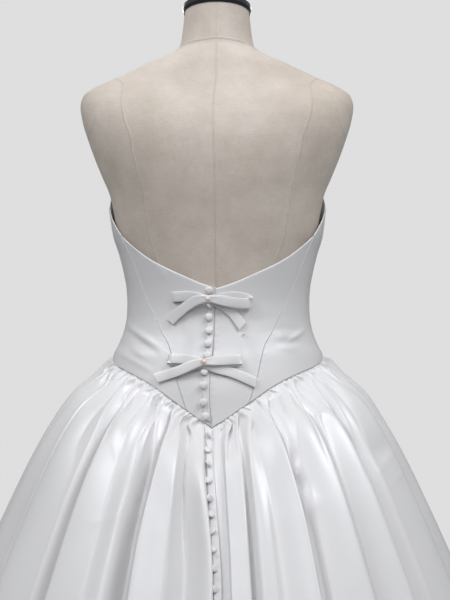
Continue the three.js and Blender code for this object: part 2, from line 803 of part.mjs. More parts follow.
// A point off the back of the bodice, by its place across and its height.
function offBodice(along, up, lift) {
  const angle = backAngle(along, up);
  return bodicePoint(angle, up).addScaledVector(outward(bodicePoint, angle, up), lift);
}

// The directions in the back of the bodice: across it, to the wearer's left, and up it.
function backFrame(along, up) {
  const angle = backAngle(along, up);
  const normal = outward(bodicePoint, angle, up);
  const across = new THREE.Vector3(normal.y, -normal.x, 0).normalize();
  return { across, upward: new THREE.Vector3().crossVectors(across, normal) };
}

// A flat ribbon along a path, with four corners a step.
function ribbon(name, bow, rows) {
  const path = new THREE.CatmullRomCurve3(
    rows.map((row) => offBodice(bow.along + row.along, bow.up + row.up, row.lift)),
    false,
    "centripetal",
  );
  const rings = [];
  for (let k = 0; k <= RIBBON_STEPS; k += 1) {
    const t = k / RIBBON_STEPS;
    const place = t * (rows.length - 1);
    const i = Math.min(Math.floor(place), rows.length - 2);
    const tilt = radians(mix(rows[i].tilt, rows[i + 1].tilt, place - i));
    const point = path.getPoint(t);
    const tangent = path.getTangent(t);
    const { across, upward } = backFrame(point.x, point.z - WAIST_Z);
    const width = across.multiplyScalar(Math.sin(tilt)).addScaledVector(upward, Math.cos(tilt));
    width.addScaledVector(tangent, -width.dot(tangent)).normalize();
    const thick = new THREE.Vector3().crossVectors(tangent, width);
    const off = (point.x - bow.along) / PINCH_REACH;
    const wide = RIBBON_WIDTH * (1 - PINCH * Math.exp(-off * off));
    const corner = (aside, through) =>
      point
        .clone()
        .addScaledVector(width, (aside * wide) / 2)
        .addScaledVector(thick, (through * RIBBON_CLOTH) / 2);
    rings.push([corner(-1, -1), corner(1, -1), corner(1, 1), corner(-1, 1)]);
  }
  return mesh(name, loftGeometry(rings), material("satin", 0.35));
}

function bows() {
  return BOWS.flatMap((bow) => {
    const pearl = mesh(
      "pearl_" + bow.name,
      new THREE.SphereGeometry(PEARL_RADIUS, 12, 8),
      material("pearl", 0.2),
    );
    const top = BOW_RISE + RIBBON_CLOTH / 2 + SEAM_GAP + PEARL_RADIUS;
    pearl.position.copy(offBodice(bow.along, bow.up, top));
    return [
      ribbon("bow_" + bow.name + "_over", bow, bow.over),
      ribbon("bow_" + bow.name + "_under", bow, bow.under),
      pearl,
    ];
  });
}

const gown = new THREE.Group();
gown.add(formTorso(), formNeckCap(), standPole(), standBase());
gown.add(...bodice(), ...skirt(), ...buttonStands(), ...buttons(), ...bows());

export default gown;
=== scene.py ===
"""The looks of a satin ball gown on a dress form, laid over the solids of the part.

Tables and sizes are in millimetres and degrees, as the part's own, and become metres where a
mesh is made. Angles run from the middle of the back towards the wearer's left. The gown's
buttoned back faces +Y and the camera.
"""

import math

import bpy
import numpy as np
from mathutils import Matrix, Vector


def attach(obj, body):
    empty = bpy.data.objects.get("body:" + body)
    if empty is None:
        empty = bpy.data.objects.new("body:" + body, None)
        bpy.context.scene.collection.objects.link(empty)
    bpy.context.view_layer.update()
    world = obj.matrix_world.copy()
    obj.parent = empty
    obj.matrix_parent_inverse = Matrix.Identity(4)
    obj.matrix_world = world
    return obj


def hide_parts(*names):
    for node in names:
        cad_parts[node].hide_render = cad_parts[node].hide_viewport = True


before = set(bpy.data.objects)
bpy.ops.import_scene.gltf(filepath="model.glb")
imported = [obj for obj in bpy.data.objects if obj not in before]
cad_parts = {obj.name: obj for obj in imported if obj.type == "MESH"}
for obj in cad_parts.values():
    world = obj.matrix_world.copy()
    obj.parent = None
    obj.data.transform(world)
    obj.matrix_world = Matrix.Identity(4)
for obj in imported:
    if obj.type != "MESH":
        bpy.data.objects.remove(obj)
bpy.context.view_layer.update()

MM = 0.001
BODY = "root"

# Sizes that the part's source gives
WAIST_Z = 1060
HEM_Z = 9
SEAM_GAP = 0.3
SEAM_SHARE = 0.75
EDGE_GAP = 0.5
STAND_CLOTH = 0.9
NECK_TOP = 409
NECK_SLOPE = 0.22
NECK_SLOPE_FROM = 362
BUTTON_RADIUS = 5
BUTTON_HEIGHT = 3.4
BUTTON_STAND_WIDTH = 9
RIBBON_WIDTH = 13.5
RIBBON_CLOTH = 1
PEARL_RADIUS = 3.7
OPENING_ANGLE = 2
SIDE_SEAM_ANGLE = 90
BODICE_STAND_LIFT = 0.45
SKIRT_STAND_LIFT = 1.2
BUTTON_LIFT = 0.8
SKIRT_STAND_END = 234
V_ROUNDING = 13
V_ROUNDED_BELOW = 90
OPENING_SHIFT_REACH = 8
BOW_RISE = 10
PINCH = 0.28
PINCH_REACH = 11
BACK_MM_PER_DEGREE = 2.4
SETTLING_STEPS = 40

# Cloth thicknesses of the pieces that show
BODICE_CLOTH = 1.3
SKIRT_CLOTH = 0.9


def rows(names, *values):
    """A table with named columns."""
    return dict(zip(names.split(), np.array(values, float).T))


FORM = rows(
    "up width front back square",
    (-260, 160, 106, 106, 2), (-190, 166, 112, 118, 2), (-130, 158, 107, 113, 2),
    (-75, 143.5, 98, 101, 2), (-57, 134.8, 94, 96, 2), (-37, 127.8, 89, 91, 2),
    (-18, 124.7, 86, 88, 2), (0, 124.2, 85, 87, 2), (18, 125, 86, 87.5, 2.02),
    (40, 128.5, 90, 89, 2.06), (67, 134.8, 98, 92, 2.12), (95, 142.4, 108, 96, 2.2),
    (121, 145.2, 116, 100, 2.26), (150, 151, 120, 104, 2.32), (176, 161.6, 119, 106.5, 2.4),
    (200, 171.5, 114, 107.5, 2.5), (222, 179.6, 108, 106.5, 2.6), (253, 189.5, 97, 100, 2.7),
    (276, 193, 86, 90, 2.6), (291, 189, 77, 81, 2.4), (301, 177, 71, 75, 2.2),
    (320, 136, 64, 67, 2), (340, 94, 58, 60, 2), (354, 62, 54, 53, 2), (362, 53, 52, 49, 2),
    (385, 48.5, 50, 45, 2), (409, 46, 49, 42, 2),
)
BUST = {"up": 158, "angle": 148, "rise": 15, "spread_up": 48, "spread_angle": 24}
BODICE_EASE = rows(
    "up off right",
    (-190, 3.8, 2.6), (-75, 3.4, 3.2), (-37, 2.9, 3.6), (0, 2.6, 3.8), (40, 3, 3.8), (67, 3.3, 3.6),
    (95, 4.6, 2.8), (121, 5.8, 1.8), (200, 5.4, 0),
)
BASQUE = rows(
    "angle up",
    (0, -168), (5, -159.5), (12, -146), (20, -132), (28, -118.5), (37, -107.5), (50, -97),
    (65, -89), (80, -81), (95, -75), (120, -82), (145, -104), (165, -136), (180, -160),
)
NECKLINE = rows(
    "angle up",
    (0, 19), (6, 23.5), (12, 28.5), (20, 36.5), (33, 49.5), (42, 59.5), (52, 73.5), (63, 91),
    (71, 106), (80, 120), (90, 134), (105, 152), (125, 176), (145, 188), (162, 182), (180, 166),
)
BACK_PRINCESS = rows(
    "up angle",
    (-160, 13), (-142, 14.7), (-103, 20.5), (-65, 26.4), (-35, 37), (16, 52), (87, 63), (130, 70),
)
FRONT_PRINCESS = rows(
    "up angle",
    (-150, 160), (-75, 155), (0, 150), (80, 147), (158, 146), (200, 142),
)
BODICE_OPENING = rows(
    "up angle",
    (-170, 2), (-125, 3.2), (-102, 3.1), (-60, 1.9), (-4, 1.2), (25, 0.9),
)
FLARE = rows(
    "down out",
    (0, 0), (8, 7.5), (20, 20.5), (49, 49), (78, 68.5), (139, 101.5), (199, 129.5), (252, 153),
    (332, 187), (600, 298), (973, 437),
)
FOLD_DEPTH = rows(
    "down fold",
    (0, 0.2), (6, 0.8), (18, 3.6), (40, 9), (80, 13), (120, 15.5), (200, 17.5), (400, 21),
    (973, 25),
)

# The skirt's folds. Share is how far the cloth is turned out, and lean how far it falls over to
# the side, both as shares of the fold depth. Drift is how far it moves round on its way down.
FOLDS = rows(
    "angle share lean drift",
    (-1.6, -0.4, 0, -2.5), (3.8, -0.4, 0, -3.5), (7.4, 0.6, -0.85, -3.6), (11.2, -0.7, 0, -0.9),
    (12.8, 0.5, -0.1, 0.2), (14.8, 0.95, 0.75, 1.6), (18.2, -1.4, 0, 2.2), (21.8, -1.1, 0, 3.2),
    (26, 0, 0, 2.6), (31.2, 0.9, 0, 0.4), (36.6, 1, 0.8, 0.5), (41, -1, 0, 1), (46, 0.55, -0.1, 1),
    (54.5, 1, 0.85, 1), (60.5, -1, 0, 1.5), (66, 0.35, 0, 0), (73, 0.9, 0.7, 0), (78.5, -0.7, 0, 0),
    (87, 0.8, 0.4, 0), (95, -0.7, 0, 0), (101, 0.4, 0, 0), (107, 0.95, 0.7, 0), (112.5, -0.9, 0, 0),
    (118, 0.4, 0, 1), (125, 1, 0.7, 1), (131, -0.95, 0, 1), (135, 0.5, -0.3, 0), (141, 0.9, 0.5, 0),
    (147, -0.85, 0, 0), (151, 0.3, 0, -1), (158, 1, 0.7, 0), (164, -0.9, 0, 0), (168, 0.8, -0.5, 0),
    (174, 0.5, 0.2, 0), (180, -0.8, 0, 0), (185, 0.5, 0, 0), (190, 0.95, 0.6, 0),
    (195.5, -0.9, 0, 0), (201, 0.95, -0.7, 1), (207, 0.5, 0, 0), (212, -0.95, 0, 0),
    (217, 0.9, -0.6, -1), (224, 0.5, 0, 0), (229, -0.85, 0, 0), (234.5, 1, -0.7, 0),
    (241, 0.5, 0, 0), (246, -0.9, 0, 0), (251, 0.9, -0.6, 0), (258, 0.4, 0, 0), (264, -0.75, 0, 0),
    (273, 0.8, -0.4, 0), (282, -0.6, 0, 0), (289.5, -0.85, 0, 0), (295.5, 1, -0.85, 0),
    (303, 0.6, 0, 0), (308, 0.05, 0, -0.5), (310.9, -0.8, 0, -0.5), (315, 0.95, -0.8, -0.5),
    (319.6, 0, 0, -0.5), (322.7, -0.8, 0, -0.5), (326.8, 1, -0.8, -0.5), (332, 0.45, 0, 0),
    (335.3, -0.05, 0, -1), (337.5, -0.75, 0, -1.5), (341, 1, -0.8, -1.5), (345.5, 0.2, 0, -1.5),
    (348.6, 0.55, 0.1, 0), (350.8, -0.5, 0, 0.5), (353.2, 0.5, -0.3, 0), (356.2, 0.5, 0.35, -1.7),
    (358.4, -0.4, 0, -2.5),
)
DRIFTED_BY = 190
VALLEYS_BELOW = 0.45
VALLEYS_DEEPER = 0.9
RIDGE_BREADTH = 0.8

# The gathers at the waist seam, fine ones first. Pairs of a row's gathers run together into
# the next row's. Down is where they are highest, and short and long the lengths they reach.
GATHER_SEED = 11
GATHERS = rows(
    "pitch tall down short long",
    (8, 10, 4, 8, 20), (16, 11, 10, 16, 40), (32, 9, 24, 34, 85), (64, 4, 50, 90, 170),
)
GATHER_PITCHES = (0.5, 1.5)
GATHER_HEIGHTS = (0.45, 1.3)
GATHER_ROUNDNESS = 2.1
GATHER_LEAN = 0.75
GATHER_LEANS_BELOW = 4
GATHER_WANDER = 0.7
GATHER_WANDERS_BELOW = 30
GATHER_WAVES = ((1, 0.31, 27), (0.6, 0.83, -17))
GATHER_START = 0.45
GATHER_RISE = 2.4
GATHER_MIDDLE = 0.68
GATHER_SINK = 0.7
GATHERS_CLEAR_OF_OPENING = (-0.4, 6.6)
GATHERS_FADE = 1.2
SEAM_SAMPLES = 3601
SKIRT_TUCKED_UP = 1.4

# Soft dents and bulges of the skirt: place, size across and along, turn and height.
BUCKLES = rows(
    "angle down across along turn height",
    (33, 52, 16, 26, 20, 2.6),
    (27, 24, 8, 12, 0, -2.2),
    (36, 30, 9, 12, 30, -2.4),
    (-24.5, 84, 7, 10, -30, -2.2),
    (-24.5, 98, 8, 9, -30, 2.4),
    (-25, 116, 8, 7, -20, -2.4),
    (-25, 142, 13, 17, -20, 4),
    (-51, 72, 9, 26, 22, 2.4),
    (-40, 27, 7, 15, -20, -5),
    (-41, 46, 6, 6, -20, 2.5),
    (-30, 60, 12, 24, 0, 1.6),
    (-57, 72, 14, 22, 30, 2.6),
    (-60, 110, 16, 12, 20, -2.2),
    (58, 40, 10, 26, 0, 2),
    (52, 120, 14, 40, 0, 1.4),
    (-42, 50, 9, 30, 0, -1.8),
    (10, 60, 7, 30, 0, 1.2),
    (-14, 120, 9, 50, 0, 1.5),
    (80, 90, 16, 30, 0, -1.8),
    (100, 60, 14, 24, 20, 2.2),
    (118, 120, 18, 20, -20, 2.4),
    (135, 80, 12, 18, 20, -2),
    (152, 110, 16, 22, 0, 2.4),
    (168, 70, 12, 16, -20, -2),
    (184, 90, 14, 20, 20, 2.2),
    (200, 60, 12, 20, 0, -1.8),
    (216, 120, 18, 22, 20, 2.4),
    (233, 80, 13, 18, -20, 2),
    (250, 110, 16, 20, 0, -2.2),
    (268, 70, 14, 24, 20, 2.2),
    (-80, 130, 14, 26, 0, 1.8),
)

# Fine creases of the skirt, from one place to another.
CREASES = rows(
    "angle down to_angle to_down width height",
    (-55, 136, -65, 112, 2.2, 0.9),
    (-58, 152, -66, 138, 2.4, 0.7),
    (-58, 250, -66, 222, 2.4, 0.8),
    (34, 70, 30, 98, 2, 0.7),
    (26, 150, 34, 170, 3, 0.4),
    (120, 140, 131, 118, 2.4, 0.8),
    (160, 180, 170, 160, 2.6, 0.7),
    (226, 150, 236, 130, 2.4, 0.8),
    (255, 210, 266, 190, 2.6, 0.7),
)
SKIRT_OPENING = rows("down angle", (0, 2), (90, 0), (200, -1.5), (973, -1.5))

# Soft furrows and ridges of the bodice, by distance across to the wearer's left and height.
# Side is 1 on the back and -1 on the front.
FURROWS = rows(
    "side across up to_across to_up width height",
    (1, 32, -66, -34, -66, 28, -1.8),
    (1, 45, -20, 51, -56, 6, -0.9),
    (1, 33, -30, 36, -50, 8, 0.5),
    (1, -27, -17, -39, -47, 6, -0.8),
    (1, -39, -47, -46, -76, 5.5, -1),
    (1, -49, -10, -51, -38, 6, -0.6),
    (1, 124, -33, 82, -60, 5, 1.5),
    (1, 120, -45, 84, -68, 5, -1.2),
    (1, 116, -63, 96, -77, 4.5, 0.9),
    (1, 136, -70, 89, -93, 4.5, 0.9),
    (1, -81, -43, -100, -52, 3.2, 1.5),
    (1, -100, -52, -121, -39, 3.4, 1.8),
    (1, -88, -60, -113, -66, 3.8, 1.3),
    (1, -90, -52, -116, -56, 3.6, -1.3),
    (1, -84, -34, -112, -38, 4.5, -0.8),
    (1, 127, 80, 114, 58, 3, 0.7),
    (1, 121, 78, 109, 57, 3, -0.5),
    (1, 78, 46, 70, 32, 3.5, 0.5),
    (1, -112, 52, -96, 20, 7, 0.5),
    (1, 108, 20, 100, -14, 8, 0.6),
    (-1, 110, -20, 70, -34, 5, 1),
    (-1, 104, -34, 66, -46, 5, -0.8),
    (-1, -108, -18, -68, -30, 5, 1.1),
    (-1, -102, -32, -62, -46, 5, -0.8),
    (-1, 40, -10, 34, -60, 7, -0.7),
    (-1, -36, -14, -30, -62, 7, -0.7),
    (-1, 60, -66, 24, -88, 5, 0.7),
    (-1, -64, -62, -26, -86, 5, 0.7),
)

BODICE_BUTTONS = rows(
    "along angle tip turn",
    (16, 4.6, 4, 0), (-4, 4.6, 58, 20), (-20.5, 4.7, 6, 10), (-39, 4.5, 8, 30),
    (-56.5, 4.9, 10, -20), (-72.5, 4.9, 6, 0), (-94.3, 6.1, 8, 15), (-112, 6.4, 10, -10),
    (-134.5, 6.2, 8, 0), (-153, 5.1, 10, 20),
)
SKIRT_BUTTONS = rows(
    "along angle tip turn",
    (15, 4, 44, 5), (31, 3.6, 8, 200), (47, 3.2, 42, 10), (65, 2.6, 10, 150), (85, 2, 44, -8),
    (105, 1.6, 34, 40), (125, 1.2, 10, 170), (147, 0.9, 16, 60), (170, 0.6, 30, 15),
    (194, 0.5, 38, 5), (218, 0.5, 34, 0),
)

# The bows' ribbons, from tail or loop to loop or tail: place from the bow's middle, distance
# off the bodice, and how far the ribbon's face is turned.
UPPER_OVER = rows(
    "along up lift tilt",
    (52, -31.5, 3, 42), (44, -23.5, 4.4, 42), (28, -9.7, 6.8, 36), (14, -1.6, 9, 18),
    (0, 0, 10, -3), (-14, -1.4, 10.2, -8), (-32, -4.6, 9.5, -9), (-46, -6.4, 9.3, -6),
    (-53.5, -5.8, 8.6, 0), (-55.5, -3.6, 6.2, 0), (-52.5, -0.6, 3.8, 0), (-40, 2.6, 3.2, 0),
    (-24, 2.8, 4.6, 0), (-9, 0.6, 8.2, 0), (2, 0, 8.5, 0),
)
UPPER_UNDER = rows(
    "along up lift tilt",
    (2, 0, 5.6, 0), (14, 2.2, 3.6, 0), (30, 3.4, 1.7, 0), (45, 3, 1.5, 0), (49, 2.6, 2.8, 0),
    (45, 3, 4.1, 0), (34, 3.4, 4.1, 0), (20, 3, 5, 0), (8, 1, 6.9, 0), (0, -1, 7, -8),
    (-9, -4, 5.6, -20), (-21, -10, 3, -36), (-33, -20.5, 2, -48), (-45.5, -38, 2.6, -56),
)
LOWER_OVER = rows(
    "along up lift tilt",
    (64, -20.5, 4.4, 22), (50, -16, 3.4, 20), (33, -10.6, 6, 18), (15, -3.4, 8.8, 18),
    (0, 0, 10, 6), (-12, 1.8, 10, -3), (-28, 3.4, 8, -5), (-43, 4.2, 7.4, -3), (-48.5, 3.6, 6.2, 0),
    (-45, 2.4, 4.6, 0), (-32, 1.6, 4.4, 0), (-18, 1, 5.6, 0), (-8, 0.4, 8.2, 0), (2, 0, 8.5, 0),
)
LOWER_UNDER = rows(
    "along up lift tilt",
    (1, 1, 5.6, 0), (12, 2.6, 3.6, 0), (26, 3.4, 2, 0), (42, 3.4, 1.8, 0), (46.5, 4.4, 3, 0),
    (43, 5.6, 4.4, 0), (31, 5.6, 4.6, 0), (18, 4.2, 5, 0), (7, 1, 6.9, 0), (-1, -2, 7, -14),
    (-12, -5.6, 4.6, -20), (-36, -11.6, 3, -22), (-54, -19, 3, -24), (-69, -26, 3.6, -25),
)
BOWS = {
    "upper": {"along": 10.8, "up": 4.6, "over": UPPER_OVER, "under": UPPER_UNDER},
    "lower": {"along": 16.7, "up": -83, "over": LOWER_OVER, "under": LOWER_UNDER},
}


# Curves and surfaces

BUMP_ENDS = 0.35
NORMAL_STEP = 0.5


def read(table, at, column):
    """A column where the first one has a given value, on a smooth curve through the rows."""
    x, y = next(iter(table.values())), table[column]
    at = np.clip(np.asarray(at, float), x[0], x[-1])
    slope = np.diff(y) / np.diff(x)
    before, after = slope[:-1], slope[1:]
    same = before * after > 0
    inner = np.where(same, 2 * before * after / np.where(same, before + after, 1), 0)
    tangent = np.concatenate([slope[:1], inner, slope[-1:]])
    i = np.clip(np.searchsorted(x, at) - 1, 0, len(x) - 2)
    span = x[i + 1] - x[i]
    t = (at - x[i]) / span
    hold = y[i] * (1 + 2 * t) + tangent[i] * span * t
    reach = y[i + 1] * (3 - 2 * t) + tangent[i + 1] * span * (t - 1)
    return hold * (1 - t) ** 2 + reach * t**2


def smooth(t):
    """A soft step from 0 to 1."""
    t = np.clip(t, 0, 1)
    return t * t * (3 - 2 * t)


def turned(angle):
    """An angle as its equal from -180 to 180 degrees."""
    return (np.asarray(angle, float) + 180) % 360 - 180


def from_back(angle):
    return np.abs(turned(angle))


def seam_up(angle):
    return read(BASQUE, from_back(angle - OPENING_ANGLE), "up")


def neckline_up(angle):
    return read(NECKLINE, from_back(angle), "up")


def bodice_ease(angle, up):
    right = np.maximum(0, -np.sin(np.radians(angle)))
    return read(BODICE_EASE, up, "off") + right**2 * read(BODICE_EASE, up, "right")


def bust_rise(angle, up):
    around = (from_back(angle) - BUST["angle"]) / BUST["spread_angle"]
    above = (up - BUST["up"]) / BUST["spread_up"]
    return BUST["rise"] * np.exp(-around * around - above * above)


def place(width, depth, z):
    return np.stack(np.broadcast_arrays(width, depth, z), axis=-1)


def unit(vectors):
    return vectors / np.linalg.norm(vectors, axis=-1, keepdims=True)


def half_depth(cosine, up):
    return np.where(cosine >= 0, read(FORM, up, "back"), read(FORM, up, "front"))


def body_point(angle, up, off=0):
    """A point of the body, moved out by an offset."""
    turn = np.radians(angle)
    power = 2 / read(FORM, up, "square")
    grow = off + bust_rise(angle, up)
    sine, cosine = np.sin(turn), np.cos(turn)
    deep = half_depth(cosine, up) + grow
    across = np.sign(sine) * np.abs(sine) ** power
    along = np.sign(cosine) * np.abs(cosine) ** power
    width = read(FORM, up, "width") + grow
    return place(width * across, deep * along, WAIST_Z + up)


def form_point(angle, up, off=0):
    """A point of the form's skin: the neck's top slopes up towards the back."""
    point = body_point(angle, up, off)
    share = np.clip((up - NECK_SLOPE_FROM) / (NECK_TOP - NECK_SLOPE_FROM), 0, 1)
    point[..., 2] += share * NECK_SLOPE * point[..., 1]
    return point


def bodice_point(angle, up, off=0):
    return body_point(angle, up, bodice_ease(angle, up) + off)


def fold_turn(angle, down):
    """The share and the lean of the skirt's folds at an angle."""
    table = FOLDS["angle"]
    first = table[0]
    at = (np.asarray(angle, float) - first) % 360 + first
    drift = np.interp(at, table, FOLDS["drift"]) * smooth(down / DRIFTED_BY)
    at = np.clip(at - drift, first, table[-1])
    i = np.clip(np.searchsorted(table, at, side="right") - 1, 0, len(table) - 2)
    rise = (1 - np.cos(np.pi * (at - table[i]) / (table[i + 1] - table[i]))) / 2
    share, lean = FOLDS["share"], FOLDS["lean"]
    climbing = share[i + 1] > share[i]
    eased = np.where(climbing, rise**RIDGE_BREADTH, 1 - (1 - rise) ** RIDGE_BREADTH)
    return share[i] + (share[i + 1] - share[i]) * eased, lean[i] + (lean[i + 1] - lean[i]) * eased


def rounded_fall(angle, down):
    """How much further the cloth below the V has fallen than its sharp seam says."""
    away = from_back(angle - OPENING_ANGLE)
    rounded = read(BASQUE, np.minimum(180, np.hypot(away, V_ROUNDING)), "up")
    return (rounded - seam_up(angle)) * smooth(down / V_ROUNDED_BELOW)


def make_gathers():
    """The gathers' edges at the seam, from fine to broad, with their heights and lengths."""
    random = np.random.default_rng(GATHER_SEED)
    angles = np.linspace(OPENING_ANGLE - 180, OPENING_ANGLE + 180, SEAM_SAMPLES)
    seam = bodice_point(angles, seam_up(angles))
    steps = np.linalg.norm(np.diff(seam, axis=0), axis=1)
    length = np.concatenate([[0], np.cumsum(steps)])
    edges = [0]
    while edges[-1] < length[-1] - GATHERS["pitch"][0]:
        edges.append(edges[-1] + GATHERS["pitch"][0] * random.uniform(*GATHER_PITCHES))
    edges = np.interp(edges[:-1] + [length[-1]], length, angles)
    made = []
    for level in range(len(GATHERS["pitch"])):
        if level:
            inner = edges[1:-1]
            kept = inner[int(random.integers(2)) :: 2]
            edges = np.concatenate([edges[:1], kept, edges[-1:]])
        count = len(edges) - 1
        tall = GATHERS["tall"][level] * random.uniform(*GATHER_HEIGHTS, count)
        reach = random.uniform(GATHERS["short"][level], GATHERS["long"][level], count)
        lean = GATHER_LEAN * random.uniform(0, 1, count)
        made.append((edges, tall, reach, lean))
    return made


GATHERED = make_gathers()


def gathers(angle, down):
    """How far the gathers lift the cloth, and how far they fall over to the side."""
    angle = turned(np.asarray(angle, float) - OPENING_ANGLE) + OPENING_ANGLE
    wander = sum(share * np.sin(angle * around + down / fall) for share, around, fall in GATHER_WAVES)
    at = angle + GATHER_WANDER * wander * smooth(down / GATHER_WANDERS_BELOW)
    lift = np.zeros(np.broadcast(angle, down).shape)
    aside = np.zeros(lift.shape)
    for level, (edges, tall, reach, lean) in enumerate(GATHERED):
        i = np.clip(np.searchsorted(edges, at, side="right") - 1, 0, len(tall) - 1)
        u = np.clip((at - edges[i]) / (edges[i + 1] - edges[i]), 0, 1)
        hill = 1 - np.abs(2 * u - 1) ** GATHER_ROUNDNESS
        start = GATHER_START * (level == 0)
        grown = start + (1 - start) * smooth(down / GATHERS["down"][level])
        high = tall[i] * hill * grown * np.exp(-((down / reach[i]) ** 2))
        middle = np.mean(tall) * grown * np.exp(-((down / np.mean(reach)) ** 2))
        lift += high - GATHER_MIDDLE * middle
        aside += high * lean[i] * np.sign(angle - OPENING_ANGLE)
    lift = np.maximum(lift, -GATHER_SINK * read(FLARE, down, "out"))
    aside = aside * smooth(down / GATHER_LEANS_BELOW)
    right, left = GATHERS_CLEAR_OF_OPENING
    slit = read(SKIRT_OPENING, down, "angle") - OPENING_ANGLE
    free = smooth((right + slit - angle) / GATHERS_FADE) + smooth((angle - left - slit) / GATHERS_FADE)
    free = free * smooth((down + SKIRT_TUCKED_UP) / GATHER_RISE)
    return lift * free, aside * free


def buckles(angle, down, radius):
    """How far the soft dents and bulges and the fine creases lift the cloth."""
    total = np.zeros(np.broadcast(angle, down).shape)
    for centre, low, across, along, turn, height in zip(*BUCKLES.values()):
        aside = np.radians(turned(angle - centre)) * radius
        below = down - low
        cosine, sine = math.cos(math.radians(turn)), math.sin(math.radians(turn))
        a = (aside * cosine + below * sine) / across
        b = (below * cosine - aside * sine) / along
        total += height * np.exp(-a * a - b * b)
    for start, low, end, high, width, height in zip(*CREASES.values()):
        x = np.radians(turned(angle - start)) * radius
        run = np.radians(turned(end - start)) * radius
        total += height * segment_bump(x, down, 0, low, run, high, width)
    return total


def segment_bump(x, y, x0, y0, x1, y1, width):
    """A ridge from 0 to 1 along a straight stretch, fading at both ends."""
    dx, dy = x1 - x0, y1 - y0
    long = dx * dx + dy * dy
    t = ((x - x0) * dx + (y - y0) * dy) / long
    near = np.clip(t, 0, 1)
    aside = np.hypot(x - x0 - near * dx, y - y0 - near * dy)
    return np.exp(-((aside / width) ** 2)) * (BUMP_ENDS + (1 - BUMP_ENDS) * np.sin(np.pi * near))


def opening_shift(angle, down):
    """The angle of a place in the cloth, where the edges of the opening run aslant."""
    slit = read(SKIRT_OPENING, down, "angle")
    near = 1 - np.minimum(1, from_back(angle - OPENING_ANGLE) / OPENING_SHIFT_REACH)
    return angle + (slit - OPENING_ANGLE) * near


def skirt_point(angle, down, off=0, fine=1):
    """A point of the skirt's outer face, by its length below the seam."""
    up = seam_up(angle)
    depth = read(FOLD_DEPTH, down, "fold")
    share, lean = fold_turn(angle, down)
    share = share - VALLEYS_DEEPER * np.maximum(0, -share - VALLEYS_BELOW)
    flare = read(FLARE, down + rounded_fall(angle, down), "out")
    width = read(FORM, up, "width")
    radius = width + flare
    lift, aside = gathers(angle, down)
    grow = bodice_ease(angle, up) + flare + share * depth + off
    grow = grow + fine * (lift + buckles(angle, down, radius))
    turn = np.radians(angle) + (lean * depth + fine * aside) / radius
    deep = half_depth(np.cos(turn), up) + grow
    return place((width + grow) * np.sin(turn), deep * np.cos(turn), WAIST_Z + up - down)


def outward(surface, angle, along):
    """The outward direction of a surface at one place or at each of several."""
    a = surface(angle + NORMAL_STEP, along) - surface(angle - NORMAL_STEP, along)
    b = surface(angle, along + NORMAL_STEP) - surface(angle, along - NORMAL_STEP)
    normal = unit(np.cross(a, b))
    facing = np.sum(normal[..., :2] * surface(angle, along)[..., :2], axis=-1, keepdims=True)
    return normal * np.sign(facing)


def grid_normals(grid):
    """The unit normals of a grid of points, pointing away from the part's axis."""
    normal = np.cross(np.gradient(grid, axis=1), np.gradient(grid, axis=0))
    normal /= np.linalg.norm(normal, axis=-1, keepdims=True) + 1e-12
    facing = np.sum(normal[..., :2] * grid[..., :2], axis=-1)
    return normal if np.mean(facing) > 0 else -normal


# Meshes and pieces


def add_object(name, data):
    made = bpy.data.objects.new(name, data)
    bpy.context.scene.collection.objects.link(made)
    return made


def finish_piece(mesh, look, replaced=(), sharp=60):
    mesh.validate()
    mesh.shade_smooth()
    mesh.set_sharp_from_angle(angle=math.radians(sharp))
    mesh.materials.append(look)
    piece = add_object(mesh.name, mesh)
    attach(piece, BODY)
    if replaced:
        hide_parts(*replaced)


def solid_mesh(name, points, faces, uv=None):
    """A mesh from points in millimetres, faces as index rows and cloth coordinates."""
    mesh = bpy.data.meshes.new(name)
    sizes = np.array([len(face) for face in faces])
    corners = np.concatenate(faces).astype(np.int32)
    mesh.vertices.add(len(points))
    mesh.vertices.foreach_set("co", (np.asarray(points) * MM).astype(np.float32).ravel())
    mesh.loops.add(len(corners))
    mesh.loops.foreach_set("vertex_index", corners)
    mesh.polygons.add(len(sizes))
    mesh.polygons.foreach_set("loop_start", np.cumsum(sizes) - sizes)
    mesh.update(calc_edges=True)
    if uv is not None:
        layer = mesh.uv_layers.new(name="cloth")
        layer.data.foreach_set("uv", (np.asarray(uv)[corners] * MM).astype(np.float32).ravel())
    return mesh


def cloth_uv(grid):
    """Distances along the rows and down the columns of a grid, in millimetres."""
    across = np.linalg.norm(np.diff(grid, axis=1), axis=-1)
    u = np.concatenate([np.zeros((len(grid), 1)), np.cumsum(across, axis=1)], axis=1)
    u -= u[:, u.shape[1] // 2][:, None]
    along = np.linalg.norm(np.diff(grid, axis=0), axis=-1).mean(axis=1)
    v = np.concatenate([[0], np.cumsum(along)])
    return np.stack([u, np.broadcast_to(v[:, None], u.shape)], axis=-1).reshape(-1, 2)


def wall(name, outer, inner):
    """A thin closed wall between two grids, with its four edges joined."""
    high, wide = outer.shape[:2]
    half = high * wide
    index = np.arange(half).reshape(high, wide)
    a, b = index[:-1, :-1], index[:-1, 1:]
    c, d = index[1:, 1:], index[1:, :-1]
    quads = np.stack([a, b, c, d], axis=-1).reshape(-1, 4)
    rim = np.concatenate([index[0, :-1], index[:-1, -1], index[-1, :0:-1], index[:0:-1, 0]])
    ahead = np.roll(rim, -1)
    edge = np.stack([rim, rim + half, ahead + half, ahead], axis=-1)
    facing = grid_normals(outer)
    first = np.cross(outer[0, 1] - outer[0, 0], outer[1, 0] - outer[0, 0])
    if first @ facing[0, 0] < 0:
        quads, edge = quads[:, ::-1], edge[:, ::-1]
    faces = np.concatenate([quads, quads[:, ::-1] + half, edge])
    points = np.concatenate([outer.reshape(-1, 3), inner.reshape(-1, 3)])
    uv = cloth_uv(outer)
    return solid_mesh(name, points, faces, np.concatenate([uv, uv]))


